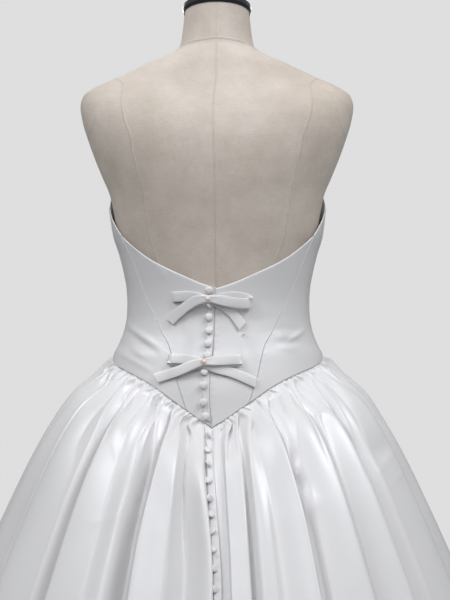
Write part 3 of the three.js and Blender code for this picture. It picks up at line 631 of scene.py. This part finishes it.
def satin_sheet(name, node, outer, thickness):
    """A piece of cloth with its outer face on a grid, in place of one of the solids."""
    mesh = wall(name, outer, outer - grid_normals(outer) * thickness)
    finish_piece(mesh, SATIN, [node])


def tube_mesh(name, rings):
    """A solid through closed rings, with a fan on its first and last ring."""
    rings = np.asarray(rings)
    count, around = rings.shape[:2]
    index = np.arange(count * around).reshape(count, around)
    ahead = np.roll(index, -1, axis=1)
    quads = np.stack([index[:-1], ahead[:-1], ahead[1:], index[1:]], axis=-1).reshape(-1, 4)
    faces = quads.tolist()
    ends = [rings[0].mean(axis=0), rings[-1].mean(axis=0)]
    first, last = count * around, count * around + 1
    for k in range(around):
        following = (k + 1) % around
        faces.append([first, index[0, following], index[0, k]])
        faces.append([last, index[-1, k], index[-1, following]])
    points = np.concatenate([rings.reshape(-1, 3), ends])
    middle = rings.mean(axis=1)
    run = np.concatenate([[0], np.cumsum(np.linalg.norm(np.diff(middle, axis=0), axis=1))])
    girth = np.linalg.norm(np.diff(rings, axis=1), axis=-1)
    u = np.concatenate([np.zeros((count, 1)), np.cumsum(girth, axis=1)], axis=1)
    uv = np.stack([u, np.broadcast_to(run[:, None], u.shape)], axis=-1).reshape(-1, 2)
    uv = np.concatenate([uv, [[0, 0], [0, run[-1]]]])
    return solid_mesh(name, points, faces, uv)


# Materials


class Tree:
    """The nodes of a material or of the world, with a short call for each kind."""

    def __init__(self, owner):
        owner.use_nodes = True
        self.nodes, self.links = owner.node_tree.nodes, owner.node_tree.links
        coords = self.nodes.new("ShaderNodeTexCoord").outputs
        self.place, self.cloth, self.sky = coords["Object"], coords["UV"], coords["Generated"]

    def feed(self, sockets, inputs):
        """Give sockets their numbers and colours, or link them to outputs of other nodes."""
        for key, value in inputs.items():
            socket = sockets[key]
            if isinstance(value, bpy.types.NodeSocket):
                self.links.new(value, socket)
            elif socket.type == "RGBA":
                socket.default_value = (*value, 1)
            else:
                socket.default_value = value

    def add(self, kind, result, inputs, **settings):
        made = self.nodes.new("ShaderNode" + kind)
        for key, value in settings.items():
            setattr(made, key, value)
        self.feed(made.inputs, inputs)
        return made.outputs[result]

    def noise(self, source, scale=1, detail=2, roughness=0.5, stretch=None):
        if stretch:
            source = self.add("Mapping", "Vector", {"Scale": stretch, "Vector": source})
        inputs = {"Vector": source, "Scale": scale, "Detail": detail, "Roughness": roughness}
        return self.add("TexNoise", "Fac", inputs)

    def ranged(self, value, low, high, to_low=0, to_high=1):
        inputs = {"From Min": low, "From Max": high, "To Min": to_low, "To Max": to_high}
        return self.add("MapRange", "Result", {"Value": value, **inputs})

    def blended(self, factor, first, second, kind="MIX"):
        inputs = {"Factor": factor, "A": first, "B": second}
        return self.add("Mix", "Result", inputs, data_type="RGBA", blend_type=kind)

    def sum_of(self, first, second):
        return self.add("Math", "Value", {0: first, 1: second}, operation="ADD")

    def bump(self, height, strength, distance, **below):
        inputs = {"Height": height, "Strength": strength, "Distance": distance, **below}
        return self.add("Bump", "Normal", inputs)


class Look(Tree):
    """A material and its main shader."""

    def __init__(self, name, colour, roughness, **settings):
        self.material = bpy.data.materials.new(name)
        super().__init__(self.material)
        self.shade(Base_Color=colour, Roughness=roughness, **settings)

    def shade(self, **inputs):
        named = {key.replace("_", " "): value for key, value in inputs.items()}
        self.feed(self.nodes["Principled BSDF"].inputs, named)


def satin(name, light, shade):
    """Heavy white satin: long floats along the warp, a soft sheen and faint unevenness."""
    look = Look(name, light, 0.36, IOR=1.75, Sheen_Weight=0.12, Sheen_Roughness=0.35)
    uneven = look.ranged(look.noise(look.place, scale=9, detail=3), low=0.35, high=0.65)
    gloss = look.noise(look.place, scale=34)
    floats = look.noise(look.cloth, detail=1, stretch=(3200, 260, 1))
    slubs = look.noise(look.cloth, stretch=(420, 26, 1))
    crumple = look.noise(look.place, scale=26, detail=3, roughness=0.55)
    fine = look.bump(floats, strength=0.25, distance=0.00012)
    soft = look.bump(slubs, strength=0.12, distance=0.0003, Normal=fine)
    look.shade(
        Base_Color=look.blended(uneven, shade, light),
        Roughness=look.ranged(gloss, low=0.3, high=0.7, to_low=0.33, to_high=0.39),
        Normal=look.bump(crumple, strength=0.05, distance=0.003, Normal=soft),
    )
    return look.material


def linen(name, light, shade):
    """Plain undyed linen: crossing threads, slubs and a mottled tone."""
    look = Look(name, light, 0.88, Sheen_Weight=0.1)
    mottle = look.noise(look.place, scale=26, detail=4, roughness=0.6)
    cloud = look.noise(look.place, scale=6)
    patches = look.ranged(look.sum_of(mottle, cloud), low=0.75, high=1.25)
    warp = look.noise(look.place, detail=1, stretch=(1500, 1500, 90))
    weft = look.noise(look.place, detail=1, stretch=(110, 110, 1500))
    weave = look.sum_of(warp, weft)
    flecks = look.ranged(weave, low=0.6, high=1.4, to_low=0.7, to_high=1.15)
    tone = look.blended(patches, shade, light)
    look.shade(
        Base_Color=look.blended(0.35, tone, flecks, kind="MULTIPLY"),
        Normal=look.bump(weave, strength=0.45, distance=0.0004),
    )
    return look.material


def polished(name, colour, roughness, coat):
    """Moulded or powder-coated: a faint orange-peel and specks of dust."""
    look = Look(name, colour, roughness, Coat_Weight=coat)
    dusty = tuple(min(1, c * 1.5 + 0.01) for c in colour)
    dust = look.ranged(look.noise(look.place, scale=900), low=0.62, high=0.78)
    peel = look.noise(look.place, scale=420)
    look.shade(
        Base_Color=look.blended(dust, colour, dusty),
        Normal=look.bump(peel, strength=0.08, distance=0.0003),
    )
    return look.material


def pearly(name, colour, pale, deep):
    """A pearl's lustre, deeper in tone where its layers are thicker."""
    look = Look(name, colour, 0.2, Coat_Weight=0.8, Coat_Roughness=0.08)
    layers = look.ranged(look.noise(look.place, scale=260), low=0.4, high=0.62)
    grain = look.noise(look.place, scale=1400)
    look.shade(
        Base_Color=look.blended(layers, pale, deep),
        Normal=look.bump(grain, strength=0.05, distance=0.0001),
    )
    return look.material


SATIN = satin("white_satin", (0.8, 0.798, 0.8), (0.775, 0.773, 0.775))
LINEN = linen("undyed_linen", (0.7, 0.63, 0.56), (0.58, 0.51, 0.435))
CAP = polished("dark_cap", (0.02, 0.022, 0.028), roughness=0.18, coat=0.6)
METAL = polished("powder_coat", (0.04, 0.04, 0.045), roughness=0.42, coat=0.1)
PEARL = pearly("pearl_lustre", (0.86, 0.68, 0.55), (0.9, 0.76, 0.63), (0.78, 0.55, 0.42))


# Camera, light and stage

CAMERA_AT = (-11.4, 2100, 1063)
CAMERA_LENS = 88.74


def make_camera():
    data = bpy.data.cameras.new("camera")
    data.lens = CAMERA_LENS
    camera = add_object("camera", data)
    camera.location = Vector(CAMERA_AT) * MM
    camera.rotation_euler = (math.radians(90), 0, math.radians(180))
    bpy.context.scene.camera = camera


# Name, place and aim in metres, size, watts and colour
LIGHTS = (
    ("key", (-1.5, 1.25, 2.9), (0, 0.1, 1), (0.95, 0.95), 30, (0.95, 0.96, 1)),
    ("front", (0, 2.75, 2.8), (0, 0.1, 0.9), (1.2, 0.4), 14, (0.94, 0.95, 1)),
    ("left", (1.5, 1.2, 2.85), (0, 0.1, 1), (0.95, 0.95), 25, (0.95, 0.96, 1)),
    ("top", (0, 0.7, 3), (0, 0.2, 1), (0.9, 0.5), 3, (0.96, 0.97, 1)),
    ("far", (0.4, -2.9, 2.2), (0, 0, 1), (2, 1), 22, (0.97, 0.98, 1)),
)


def area_light(name, at, towards, size, energy, colour):
    data = bpy.data.lights.new(name, "AREA")
    data.shape = "RECTANGLE"
    data.size, data.size_y = size
    data.energy = energy
    data.color = colour
    lamp = add_object(name, data)
    lamp.location = at
    lamp.rotation_euler = (Vector(towards) - Vector(at)).to_track_quat("-Z", "Y").to_euler()


SKY_LIGHT = (0.355, 0.355, 0.352)
LOW_LIGHT = (0.08, 0.08, 0.08)
BACKDROP = (0.735, 0.735, 0.735)
HORIZON_FROM = -0.05
HORIZON_TO = 0.3


def make_world():
    """A pale backdrop for the eye, and light that comes softly from above."""
    world = bpy.data.worlds.new("studio")
    bpy.context.scene.world = world
    tree = Tree(world)
    height = tree.add("SeparateXYZ", "Z", {"Vector": tree.sky})
    risen = tree.ranged(height, HORIZON_FROM, HORIZON_TO)
    soft = tree.nodes["Background"]
    tree.feed(soft.inputs, {"Color": tree.blended(risen, LOW_LIGHT, SKY_LIGHT)})
    pale = tree.add("Background", "Background", {"Color": BACKDROP})
    seen = tree.add("LightPath", "Is Camera Ray", {})
    inputs = {"Fac": seen, 1: soft.outputs["Background"], 2: pale}
    chosen = tree.add("MixShader", "Shader", inputs)
    tree.feed(tree.nodes["World Output"].inputs, {"Surface": chosen})


FLOOR_RADIUS = 1400
FLOOR_SIDES = 96


def ring_turn(sides):
    """The angles of evenly spaced points round a ring, in radians."""
    return np.radians(np.arange(sides) * 360 / sides)


def make_floor():
    turn = ring_turn(FLOOR_SIDES)
    ring = place(FLOOR_RADIUS * np.sin(turn), FLOOR_RADIUS * np.cos(turn), 0)
    mesh = solid_mesh("floor", ring[::-1], [list(range(FLOOR_SIDES))])
    look = Look("pale_floor", (0.62, 0.62, 0.62), roughness=0.7)
    grain = look.noise(look.place, scale=3, detail=3)
    look.shade(Base_Color=look.blended(grain, (0.61, 0.61, 0.61), (0.63, 0.63, 0.63)))
    mesh.materials.append(look.material)
    add_object("floor", mesh)


# The dress form

FORM_FOOT = -260
FORM_COLUMNS = 240
FORM_ROWS = 150
HIDDEN_STEP = 20.0
FORM_PRINCESS = rows(
    "up angle",
    (-40, 30), (60, 37), (100, 39), (128, 39.5), (155, 38.5), (200, 36.5), (228, 34.5), (271, 36.5),
    (288, 38.5), (300, 44), (308, 54), (314, 70),
)
ARM_PLATE = rows(
    "up angle",
    (228, 88), (233, 74), (250, 60), (271, 54), (292, 50), (300, 47),
)
COLLAR_UP = 355
COLLAR_RISE = 11
FORM_SEAM_WIDTH = 4.2
FORM_SEAM_HEIGHT = 0.6
FORM_SEAM_SHARP = 80
FORM_SEAM_FROM = -40
FRONT_SEAM_TO = 342
NAPE_FROM = 369
COLLAR_SHARE = 0.7
NAPE_SHARE = 0.6
PLATE_SHARE = 0.45

# The section of a form seam: across and up, as shares of its half width and its height
WELT = (
    (-1, -1), (-0.85, 0), (-0.6, 0.75), (-0.3, 1), (-0.1, 0.8), (0, 0.1), (0.1, 0.8), (0.3, 1),
    (0.6, 0.75), (0.85, 0), (1, -1), (0.5, -2.4), (-0.5, -2.4),
)


def make_form():
    hidden = np.arange(FORM_FOOT, 0, HIDDEN_STEP)
    up = np.concatenate([hidden, np.linspace(0, NECK_TOP, FORM_ROWS)])
    angle = np.arange(FORM_COLUMNS) * 360 / FORM_COLUMNS
    mesh = tube_mesh("form_linen", form_point(angle[None, :], up[:, None]))
    finish_piece(mesh, LINEN, ["form_torso"])


def form_seam(name, angle, up, share=1.0):
    """A seam of the form: two low welts with the stitched groove between them."""
    angle, up = np.broadcast_arrays(np.asarray(angle, float), np.asarray(up, float))
    middle = form_point(angle, up)
    normal = outward(form_point, angle, up)
    aside = unit(np.cross(unit(np.gradient(middle, axis=0)), normal))
    half, high = FORM_SEAM_WIDTH / 2, FORM_SEAM_HEIGHT * share
    rings = [middle + aside * (x * half) + normal * (y * high) for x, y in WELT]
    mesh = tube_mesh("form_seam_" + name, np.stack(rings, axis=1))
    finish_piece(mesh, LINEN, sharp=FORM_SEAM_SHARP)


def make_form_seams():
    low, plate_low, plate_high = FORM_SEAM_FROM, ARM_PLATE["up"][0], ARM_PLATE["up"][-1]
    form_seam("back", angle=0.4, up=np.linspace(low, NECK_SLOPE_FROM, num=150))
    nape = np.linspace(NAPE_FROM, NECK_TOP - 1, num=20)
    form_seam("nape", angle=0.2, up=nape, share=NAPE_SHARE)
    form_seam("front", angle=180, up=np.linspace(low, FRONT_SEAM_TO, num=140))
    steps = np.linspace(low, FORM_PRINCESS["up"][-1], num=160)
    princess = read(FORM_PRINCESS, steps, "angle")
    plate_steps = np.linspace(plate_low, plate_high, num=60)
    plate = read(ARM_PLATE, plate_steps, "angle")
    for side, way in (("left", 1), ("right", -1)):
        form_seam("princess_back_" + side, way * princess, steps)
        form_seam("princess_front_" + side, way * (180 - princess), steps)
        form_seam("side_" + side, way * 90, np.linspace(low, plate_low - 2, num=110))
        form_seam("arm_back_" + side, way * plate, plate_steps, PLATE_SHARE)
        form_seam("arm_front_" + side, way * (180 - plate), plate_steps, PLATE_SHARE)
    around = np.linspace(0.5, 359.5, num=240)
    collar = COLLAR_UP + COLLAR_RISE * np.cos(np.radians(around))
    form_seam("neck", around, collar, COLLAR_SHARE)


# The bodice

PANEL_ROWS = 84
TURNED_ACROSS = 0.016
TURNED_ALONG = 0.008

# Turned edges: how far in their roll begins, and how far it falls
LOWER_EDGE = (1.6, 1)
NECKLINE_EDGE = (2.8, 1.4)
SEAM_EDGE = (1.6, 0.3)
SELVAGE_EDGE = (2, 0.9)
HEM_EDGE = (3, 1.6)
STRIP_EDGE = (0.8, 0.5)

PUCKER_PITCH = 9
PUCKER_HEIGHT = 0.16
PUCKER_FROM_SEAM = 3
PUCKER_SPREAD = 3.5
OPENING_GAPE = 2
OPENING_GAPES_AT = -112
OPENING_GAPE_REACH = 30
GAPING_WITHIN = 5
FACING_SHARPNESS = 8


def edge_roll(distance, reach, depth):
    """How far a turned edge falls away, in a quarter round."""
    t = 1 - np.clip(distance / reach, 0, 1)
    return depth * (1 - np.sqrt(np.clip(1 - t * t, 0, 1)))


def furrows(point, cosine):
    """How far the furrows and ridges lift the cloth, on the back or on the front."""
    total = np.zeros(point.shape[:-1])
    x, up = point[..., 0], point[..., 2] - WAIST_Z
    for side, x0, up0, x1, up1, width, height in zip(*FURROWS.values()):
        seen = smooth(side * cosine * FACING_SHARPNESS)
        total += seen * height * segment_bump(x, up, x0, up0, x1, up1, width)
    return total


def edge_steps(count, reach):
    """Shares from 0 to 1, close together at both ends for the turned edges."""
    fine = np.array([0, 0.08, 0.25, 0.5, 0.75, 1, 1.5]) * reach
    middle = np.linspace(fine[-1], 1 - fine[-1], count)
    return np.concatenate([fine[:-1], middle, 1 - fine[-2::-1]])


def seam_at(table, side=1, turn=0):
    """The angle of a seam at each height, as its table has it or mirrored."""
    return lambda at: turn + side * read(table, at, "angle")


def straight_seam(angle):
    return lambda at: angle + 0 * at


def bodice_panel(part, columns, from_seam, to_seam, gapes=0):
    share = edge_steps(columns, TURNED_ACROSS)[None, :]
    rise = edge_steps(PANEL_ROWS, TURNED_ALONG)[:, None]
    up = np.zeros(np.broadcast(share, rise).shape)
    for _ in range(SETTLING_STEPS):
        angle = from_seam(up) + (to_seam(up) - from_seam(up)) * share
        low = seam_up(angle) + EDGE_GAP
        up = low + (neckline_up(angle) - low) * rise
    per_degree = math.radians(1) * read(FORM, up, "width")
    gaping = OPENING_GAPE * np.exp(-(((up - OPENING_GAPES_AT) / OPENING_GAPE_REACH) ** 2))
    gaping = gaping * (from_back(angle - OPENING_ANGLE) < GAPING_WITHIN) * gapes
    parting = (SEAM_SHARE * SEAM_GAP + gaping) / per_degree
    first, last = (angle - from_seam(up)) * per_degree, (to_seam(up) - angle) * per_degree
    angle = angle + np.where(share == 0, parting, 0) - np.where(share == 1, parting, 0)
    above, below, beside = neckline_up(angle) - up, up - low, np.minimum(first, last)
    off = -edge_roll(beside, *SEAM_EDGE)
    off -= edge_roll(above, *NECKLINE_EDGE) + edge_roll(below, *LOWER_EDGE)
    near_seam = np.exp(-((beside - PUCKER_FROM_SEAM) / PUCKER_SPREAD) ** 2)
    off += PUCKER_HEIGHT * near_seam * np.sin(2 * np.pi * up / PUCKER_PITCH)
    off += furrows(bodice_point(angle, up), np.cos(np.radians(angle)))
    satin_sheet("satin_" + part, "bodice_" + part, bodice_point(angle, up, off), BODICE_CLOTH)


def make_bodice():
    opening = seam_at(BODICE_OPENING)
    back, back_right = seam_at(BACK_PRINCESS), seam_at(BACK_PRINCESS, side=-1)
    front, front_right = seam_at(FRONT_PRINCESS), seam_at(FRONT_PRINCESS, side=-1, turn=360)
    side = straight_seam(SIDE_SEAM_ANGLE)
    for part, columns, *seams in (
        ("back_left", 34, opening, back),
        ("side_back_left", 34, back, side),
        ("side_front_left", 34, side, front),
        ("front", 46, front, front_right),
        ("side_front_right", 34, front_right, straight_seam(360 - SIDE_SEAM_ANGLE)),
        ("side_back_right", 34, straight_seam(-SIDE_SEAM_ANGLE), back_right),
    ):
        bodice_panel(part, columns, *seams)
    bodice_panel("back_right", 34, back_right, opening, gapes=1)


# The skirt

# First length below the seam, step and count of each zone's rows
SKIRT_ROW_STEPS = ((0, 0.7, 4), (2.8, 1.9, 32), (63.6, 4, 40), (223.6, 13.5, 56))
EVEN_AT = 110
EVEN_SAMPLES = 2001
SKIRT_SEAM_TUCK = 2.4
SKIRT_SEAM_RISE = 4
UNDERLAP_WIDTH = 3.5
UNDERLAP_DEPTH = 2.4
UNDERLAP_FROM = 6

# Piece, node, first and last angle, columns, and whether it laps under the button strip
SKIRT_PANELS = (
    ("satin_skirt_left", "skirt_back_left", OPENING_ANGLE, SIDE_SEAM_ANGLE, 350, False),
    ("satin_skirt_front", "skirt_front", SIDE_SEAM_ANGLE, 360 - SIDE_SEAM_ANGLE, 360, False),
    ("satin_skirt_right", "skirt_back_right", -SIDE_SEAM_ANGLE, OPENING_ANGLE, 350, True),
)


def skirt_rows():
    """Lengths below the seam, close together where the cloth is gathered."""
    zones = [start + step * np.arange(count) for start, step, count in SKIRT_ROW_STEPS]
    return np.concatenate(zones)


def even_angles(start, end, columns):
    """Angles that lie evenly along the cloth where its folds are deep."""
    angle = np.linspace(start, end, EVEN_SAMPLES)
    ring = skirt_point(angle, EVEN_AT)
    run = np.concatenate([[0], np.cumsum(np.linalg.norm(np.diff(ring, axis=0), axis=1))])
    return np.interp(np.linspace(0, run[-1], columns), run, angle)


def skirt_panel(name, node, start, end, columns, underlap):
    angle = even_angles(start, end, columns)[None, :]
    length = seam_up(angle) + WAIST_Z - HEM_Z
    base = skirt_rows()
    down = (base / base[-1])[:, None] * (length + SKIRT_TUCKED_UP) - SKIRT_TUCKED_UP
    radius = read(FORM, seam_up(angle), "width") + read(FLARE, down, "out")
    first = np.radians(angle - start) * radius
    last = np.radians(end - angle) * radius
    gap = SEAM_SHARE * SEAM_GAP / (math.radians(1) * radius)
    aside = np.where(angle == start, gap, 0) - np.where(angle == end, gap, 0)
    off = -edge_roll(np.minimum(first, last), *SELVAGE_EDGE)
    off = off - SKIRT_SEAM_TUCK * (1 - smooth(down / SKIRT_SEAM_RISE))
    off = off - edge_roll(length - down, *HEM_EDGE)
    shifted = opening_shift(angle, down) + aside
    if underlap:
        under = smooth(1 - last / UNDERLAP_WIDTH) * smooth(down / UNDERLAP_FROM)
        off = off - under * UNDERLAP_DEPTH
        shifted = shifted + under * UNDERLAP_WIDTH / (math.radians(1) * radius)
    satin_sheet(name, node, skirt_point(shifted, down, off), SKIRT_CLOTH)


# Buttons and the strip beneath them

STRIP_ACROSS = (0, 0.02, 0.08, 0.2, 0.35, 0.5, 0.65, 0.8, 0.92, 0.98, 1)
STRIP_ANGLE = 5
STRIP_FROM_SLIT = 0.8
STRIP_FROM_SEAM = 4
STRIP_FROM_NECKLINE = 1.5
STRIP_CLOTH = 0.72
STRIP_RIPPLES = 0.33
STRIP_RIPPLE_SLANT = 2.5
STRIP_SWELLS = 0.13
STRIP_SWELLS_FROM = 1
BUTTON_SIDES = 32
BUTTON_PLEATS = 9
BUTTON_PLEAT_DEPTH = 0.012
BUTTON_PLEATS_UNDER = 0.6
TIPPED_RISE = 0.5

# A covered button's outline, as shares of its radius and its height
BUTTON_PROFILE = (
    (0.01, 0), (0.7, 0.02), (0.92, 0.08), (1.02, 0.22), (1.05, 0.38), (1.03, 0.52), (0.97, 0.66),
    (0.86, 0.79), (0.68, 0.9), (0.4, 0.98), (0.01, 1),
)


def bare_skirt(angle, along):
    """The skirt's surface without its fine gathers, buckles and creases."""
    return skirt_point(angle, along, fine=0)


def button_strip(name, surface, opening, along, lift, wave):
    across = np.array(STRIP_ACROSS)[None, :]
    along = along[:, None]
    per_degree = math.radians(1) * surface(SIDE_SEAM_ANGLE + 0 * along, along)[..., 0]
    angle = seam_at(opening)(along) + (STRIP_FROM_SLIT + BUTTON_STAND_WIDTH * across) / per_degree
    down = along + 0 * across
    rim = np.minimum(across, 1 - across) * BUTTON_STAND_WIDTH
    ripple = wave * np.sin(along * STRIP_RIPPLES + STRIP_RIPPLE_SLANT * across)
    ripple = ripple * np.sin(along * STRIP_SWELLS + STRIP_SWELLS_FROM)
    high = lift + STAND_CLOTH - edge_roll(rim, *STRIP_EDGE) + np.maximum(0, ripple)
    grid = surface(angle, down) + outward(surface, angle, down) * high[..., None]
    satin_sheet("strip_" + name, "button_stand_" + name, grid, STRIP_CLOTH)


def make_button_strips():
    low = float(seam_up(STRIP_ANGLE)) + STRIP_FROM_SEAM
    high = float(neckline_up(STRIP_ANGLE)) - STRIP_FROM_NECKLINE
    along = np.linspace(low, high, num=150)
    button_strip("bodice", bodice_point, BODICE_OPENING, along, BODICE_STAND_LIFT, wave=0.15)
    along = np.linspace(STRIP_FROM_SEAM, SKIRT_STAND_END, num=180)
    button_strip("skirt", bare_skirt, SKIRT_OPENING, along, SKIRT_STAND_LIFT, wave=0.7)


def turned_frame(normal, tip, turn):
    """Two directions across a button and one out of it, tipped from the surface's normal."""
    across = unit(np.cross(np.array([0, 0, 1.0]), normal))
    lean, spin = math.radians(tip), math.radians(turn)
    aside = across * math.cos(spin) + np.cross(normal, across) * math.sin(spin)
    out = normal * math.cos(lean) + aside * math.sin(lean)
    side = unit(np.cross(out, aside))
    return np.cross(side, out), side, out


def spokes(first, second, sides):
    """Directions all the way round, in the plane of two others."""
    turn = ring_turn(sides)[:, None]
    return first * np.cos(turn) + second * np.sin(turn)


def covered_button(number, centre, normal, tip, turn):
    a, b, out = turned_frame(normal, tip, turn)
    rings = []
    for wide, high in BUTTON_PROFILE:
        waves = np.sin(BUTTON_PLEATS * ring_turn(BUTTON_SIDES) + number)
        pleat = 1 + BUTTON_PLEAT_DEPTH * waves * (high < BUTTON_PLEATS_UNDER)
        reach = (wide * BUTTON_RADIUS * pleat)[:, None]
        rings.append(centre + out * (high * BUTTON_HEIGHT) + spokes(a, b, BUTTON_SIDES) * reach)
    mesh = tube_mesh("covered_button_%02d" % number, rings)
    finish_piece(mesh, SATIN, ["button_%02d" % number])


def make_buttons():
    number = 0
    for table, surface, lift in (
        (BODICE_BUTTONS, bodice_point, BODICE_STAND_LIFT),
        (SKIRT_BUTTONS, bare_skirt, SKIRT_STAND_LIFT),
    ):
        for along, angle, tip, turn in zip(*table.values()):
            number += 1
            normal = outward(surface, angle, along)
            tipped = BUTTON_RADIUS * math.sin(math.radians(tip)) * TIPPED_RISE
            rise = lift + STAND_CLOTH + BUTTON_LIFT + tipped
            covered_button(number, surface(angle, along) + normal * rise, normal, tip, turn)


# Bows and pearls

RIBBON_STEPS = 150
RIBBON_AROUND = 36
RIBBON_SQUARE = (0.55, 0.7)
RIBBON_BULGE = 0.5
RIBBON_RIPPLE = 0.25
RIBBON_RIPPLES = 2.1
PLEATS = 3
PLEAT_HEIGHT = 0.35
TAIL_BEYOND = 15
TAIL_SLANT = 0.3
PEARL_SIDES = 36
PEARL_RINGS = 22
PEARL_ENDS = 0.035
PEARL_LENGTHENED = 0.015
PEARL_DIMPLE = 0.5
PEARL_DIMPLE_TAPER = 0.015
PEARL_TIP = 20
PEARL_TURN = 70
TAIL_BEAD_AT = (-37, -43.5)
TAIL_BEAD_RADIUS = 1.5
TAIL_BEAD_LIFT = 0.4


def back_angle(across, up):
    """The angle at which the bodice's back is a given distance to the wearer's left."""
    angle = 0 * across
    for _ in range(SETTLING_STEPS):
        angle = angle + (across - bodice_point(angle, up)[..., 0]) / BACK_MM_PER_DEGREE
    return angle


def on_back(across, up, lift):
    """A point off the bodice's back, and the outward direction there."""
    angle = back_angle(across, up)
    normal = outward(bodice_point, angle, up)
    return bodice_point(angle, up) + normal * lift, normal


def back_frame(across, up):
    """The directions across the back, to the wearer's left, and up it."""
    normal = outward(bodice_point, back_angle(across, up), up)
    side = unit(np.stack([normal[..., 1], -normal[..., 0], 0 * normal[..., 0]], axis=-1))
    return side, np.cross(side, normal)


def superround(wave, power):
    """A sine or cosine made squarer, for a flattened section."""
    return (np.sign(wave) * np.abs(wave) ** power)[None, :]


def curve_point(points, t):
    """A point of the centripetal curve through a list of points."""
    last = len(points) - 2
    i = min(int(t * (last + 1)), last)
    w = t * (last + 1) - i
    p1, p2 = points[i], points[i + 1]
    p0 = points[i - 1] if i > 0 else 2 * p1 - p2
    p3 = points[i + 2] if i < last else 2 * p2 - p1
    d0, d1, d2 = (math.sqrt(np.linalg.norm(b - a)) for a, b in ((p0, p1), (p1, p2), (p2, p3)))
    t1 = ((p1 - p0) / d0 - (p2 - p0) / (d0 + d1) + (p2 - p1) / d1) * d1
    t2 = ((p2 - p1) / d1 - (p3 - p1) / (d1 + d2) + (p3 - p2) / d2) * d1
    curve = -3 * p1 + 3 * p2 - 2 * t1 - t2
    return p1 + t1 * w + curve * w**2 + (2 * p1 - 2 * p2 + t1 + t2) * w**3


def ribbon(name, bow, path):
    """A flattened satin tube along its path, pinched where the pearl holds it."""
    points = [
        on_back(bow["along"] + along, bow["up"] + up, lift)[0]
        for along, up, lift in zip(path["along"], path["up"], path["lift"])
    ]
    share = np.linspace(0, 1, RIBBON_STEPS + 1)
    spot = share * (len(points) - 1)
    middle = np.array([curve_point(points, t) for t in share])
    tangent = unit(np.gradient(middle, axis=0))
    tilt = np.radians(np.interp(spot, np.arange(len(points)), path["tilt"]))[:, None]
    side, upward = back_frame(middle[:, 0], middle[:, 2] - WAIST_Z)
    width = side * np.sin(tilt) + upward * np.cos(tilt)
    width = unit(width - tangent * np.sum(width * tangent, axis=1, keepdims=True))
    thick = np.cross(tangent, width)[:, None, :]
    around = ring_turn(RIBBON_AROUND)
    aside = superround(np.cos(around), RIBBON_SQUARE[0])
    through = superround(np.sin(around), RIBBON_SQUARE[1])
    near = np.exp(-(((middle[:, :1] - bow["along"]) / PINCH_REACH) ** 2))
    wide = RIBBON_WIDTH * (1 - PINCH * near)
    pillow = RIBBON_CLOTH / 2 * (1 + RIBBON_BULGE * (1 - aside**2) * (1 - near))
    pleat = PLEAT_HEIGHT * near * np.cos(PLEATS * np.pi * aside)
    ripple = RIBBON_RIPPLE * (1 - near) * np.sin(spot * RIBBON_RIPPLES)[:, None] * aside
    height = (through * pillow + pleat + ripple)[..., None]
    rings = middle[:, None, :] + (aside * wide / 2)[..., None] * width[:, None, :] + height * thick
    for end, way in ((0, -1), (-1, 1)):
        if min(abs(path["up"][end]), abs(path["along"][end])) > TAIL_BEYOND:
            fall = TAIL_SLANT * way * np.sign(path["along"][end]) * aside[0] * wide[end] / 2
            rings[end] += fall[:, None] * tangent[end]
    finish_piece(tube_mesh("ribbon_" + name, rings), SATIN, ["bow_" + name])


def pearl(name, across, up, lift, radius, replaced=()):
    """A pearl with a dimple where its hole is drilled."""
    centre, normal = on_back(across, up, lift)
    a, b, out = turned_frame(normal, PEARL_TIP, PEARL_TURN)
    rings = []
    for k in range(PEARL_RINGS + 1):
        polar = math.pi * (PEARL_ENDS + (1 - 2 * PEARL_ENDS) * k / PEARL_RINGS)
        wide = radius * math.sin(polar) * (1 + PEARL_LENGTHENED * math.cos(2 * polar))
        ring = centre + b * (radius * math.cos(polar))
        rings.append(ring + spokes(a, out, PEARL_SIDES) * wide)
    centred = rings[0].mean(axis=0) - rings[0]
    rings.insert(0, rings[0] + centred * PEARL_DIMPLE_TAPER - b * PEARL_DIMPLE)
    finish_piece(tube_mesh("bead_" + name, rings), PEARL, replaced)


def make_bows():
    for label, bow in BOWS.items():
        for layer in ("over", "under"):
            ribbon(label + "_" + layer, bow, bow[layer])
        top = BOW_RISE + RIBBON_CLOTH / 2 + SEAM_GAP + PEARL_RADIUS
        pearl(label, bow["along"], bow["up"], top, PEARL_RADIUS, ["pearl_" + label])
    pearl("tail", *TAIL_BEAD_AT, TAIL_BEAD_RADIUS + TAIL_BEAD_LIFT, TAIL_BEAD_RADIUS)


# The finish of the part's own solids that stay in view


def finish_solids():
    """Give the part's own solids that stay in view their finish."""
    for node, look in (("form_neck_cap", CAP), ("stand_pole", METAL), ("stand_base", METAL)):
        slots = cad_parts[node].data.materials
        slots.clear()
        slots.append(look)


make_camera()
for light in LIGHTS:
    area_light(*light)
make_world()
make_floor()
make_form()
make_form_seams()
make_bodice()
for panel in SKIRT_PANELS:
    skirt_panel(*panel)
make_button_strips()
make_buttons()
make_bows()
finish_solids()

bpy.context.scene.view_settings.view_transform = "Standard"
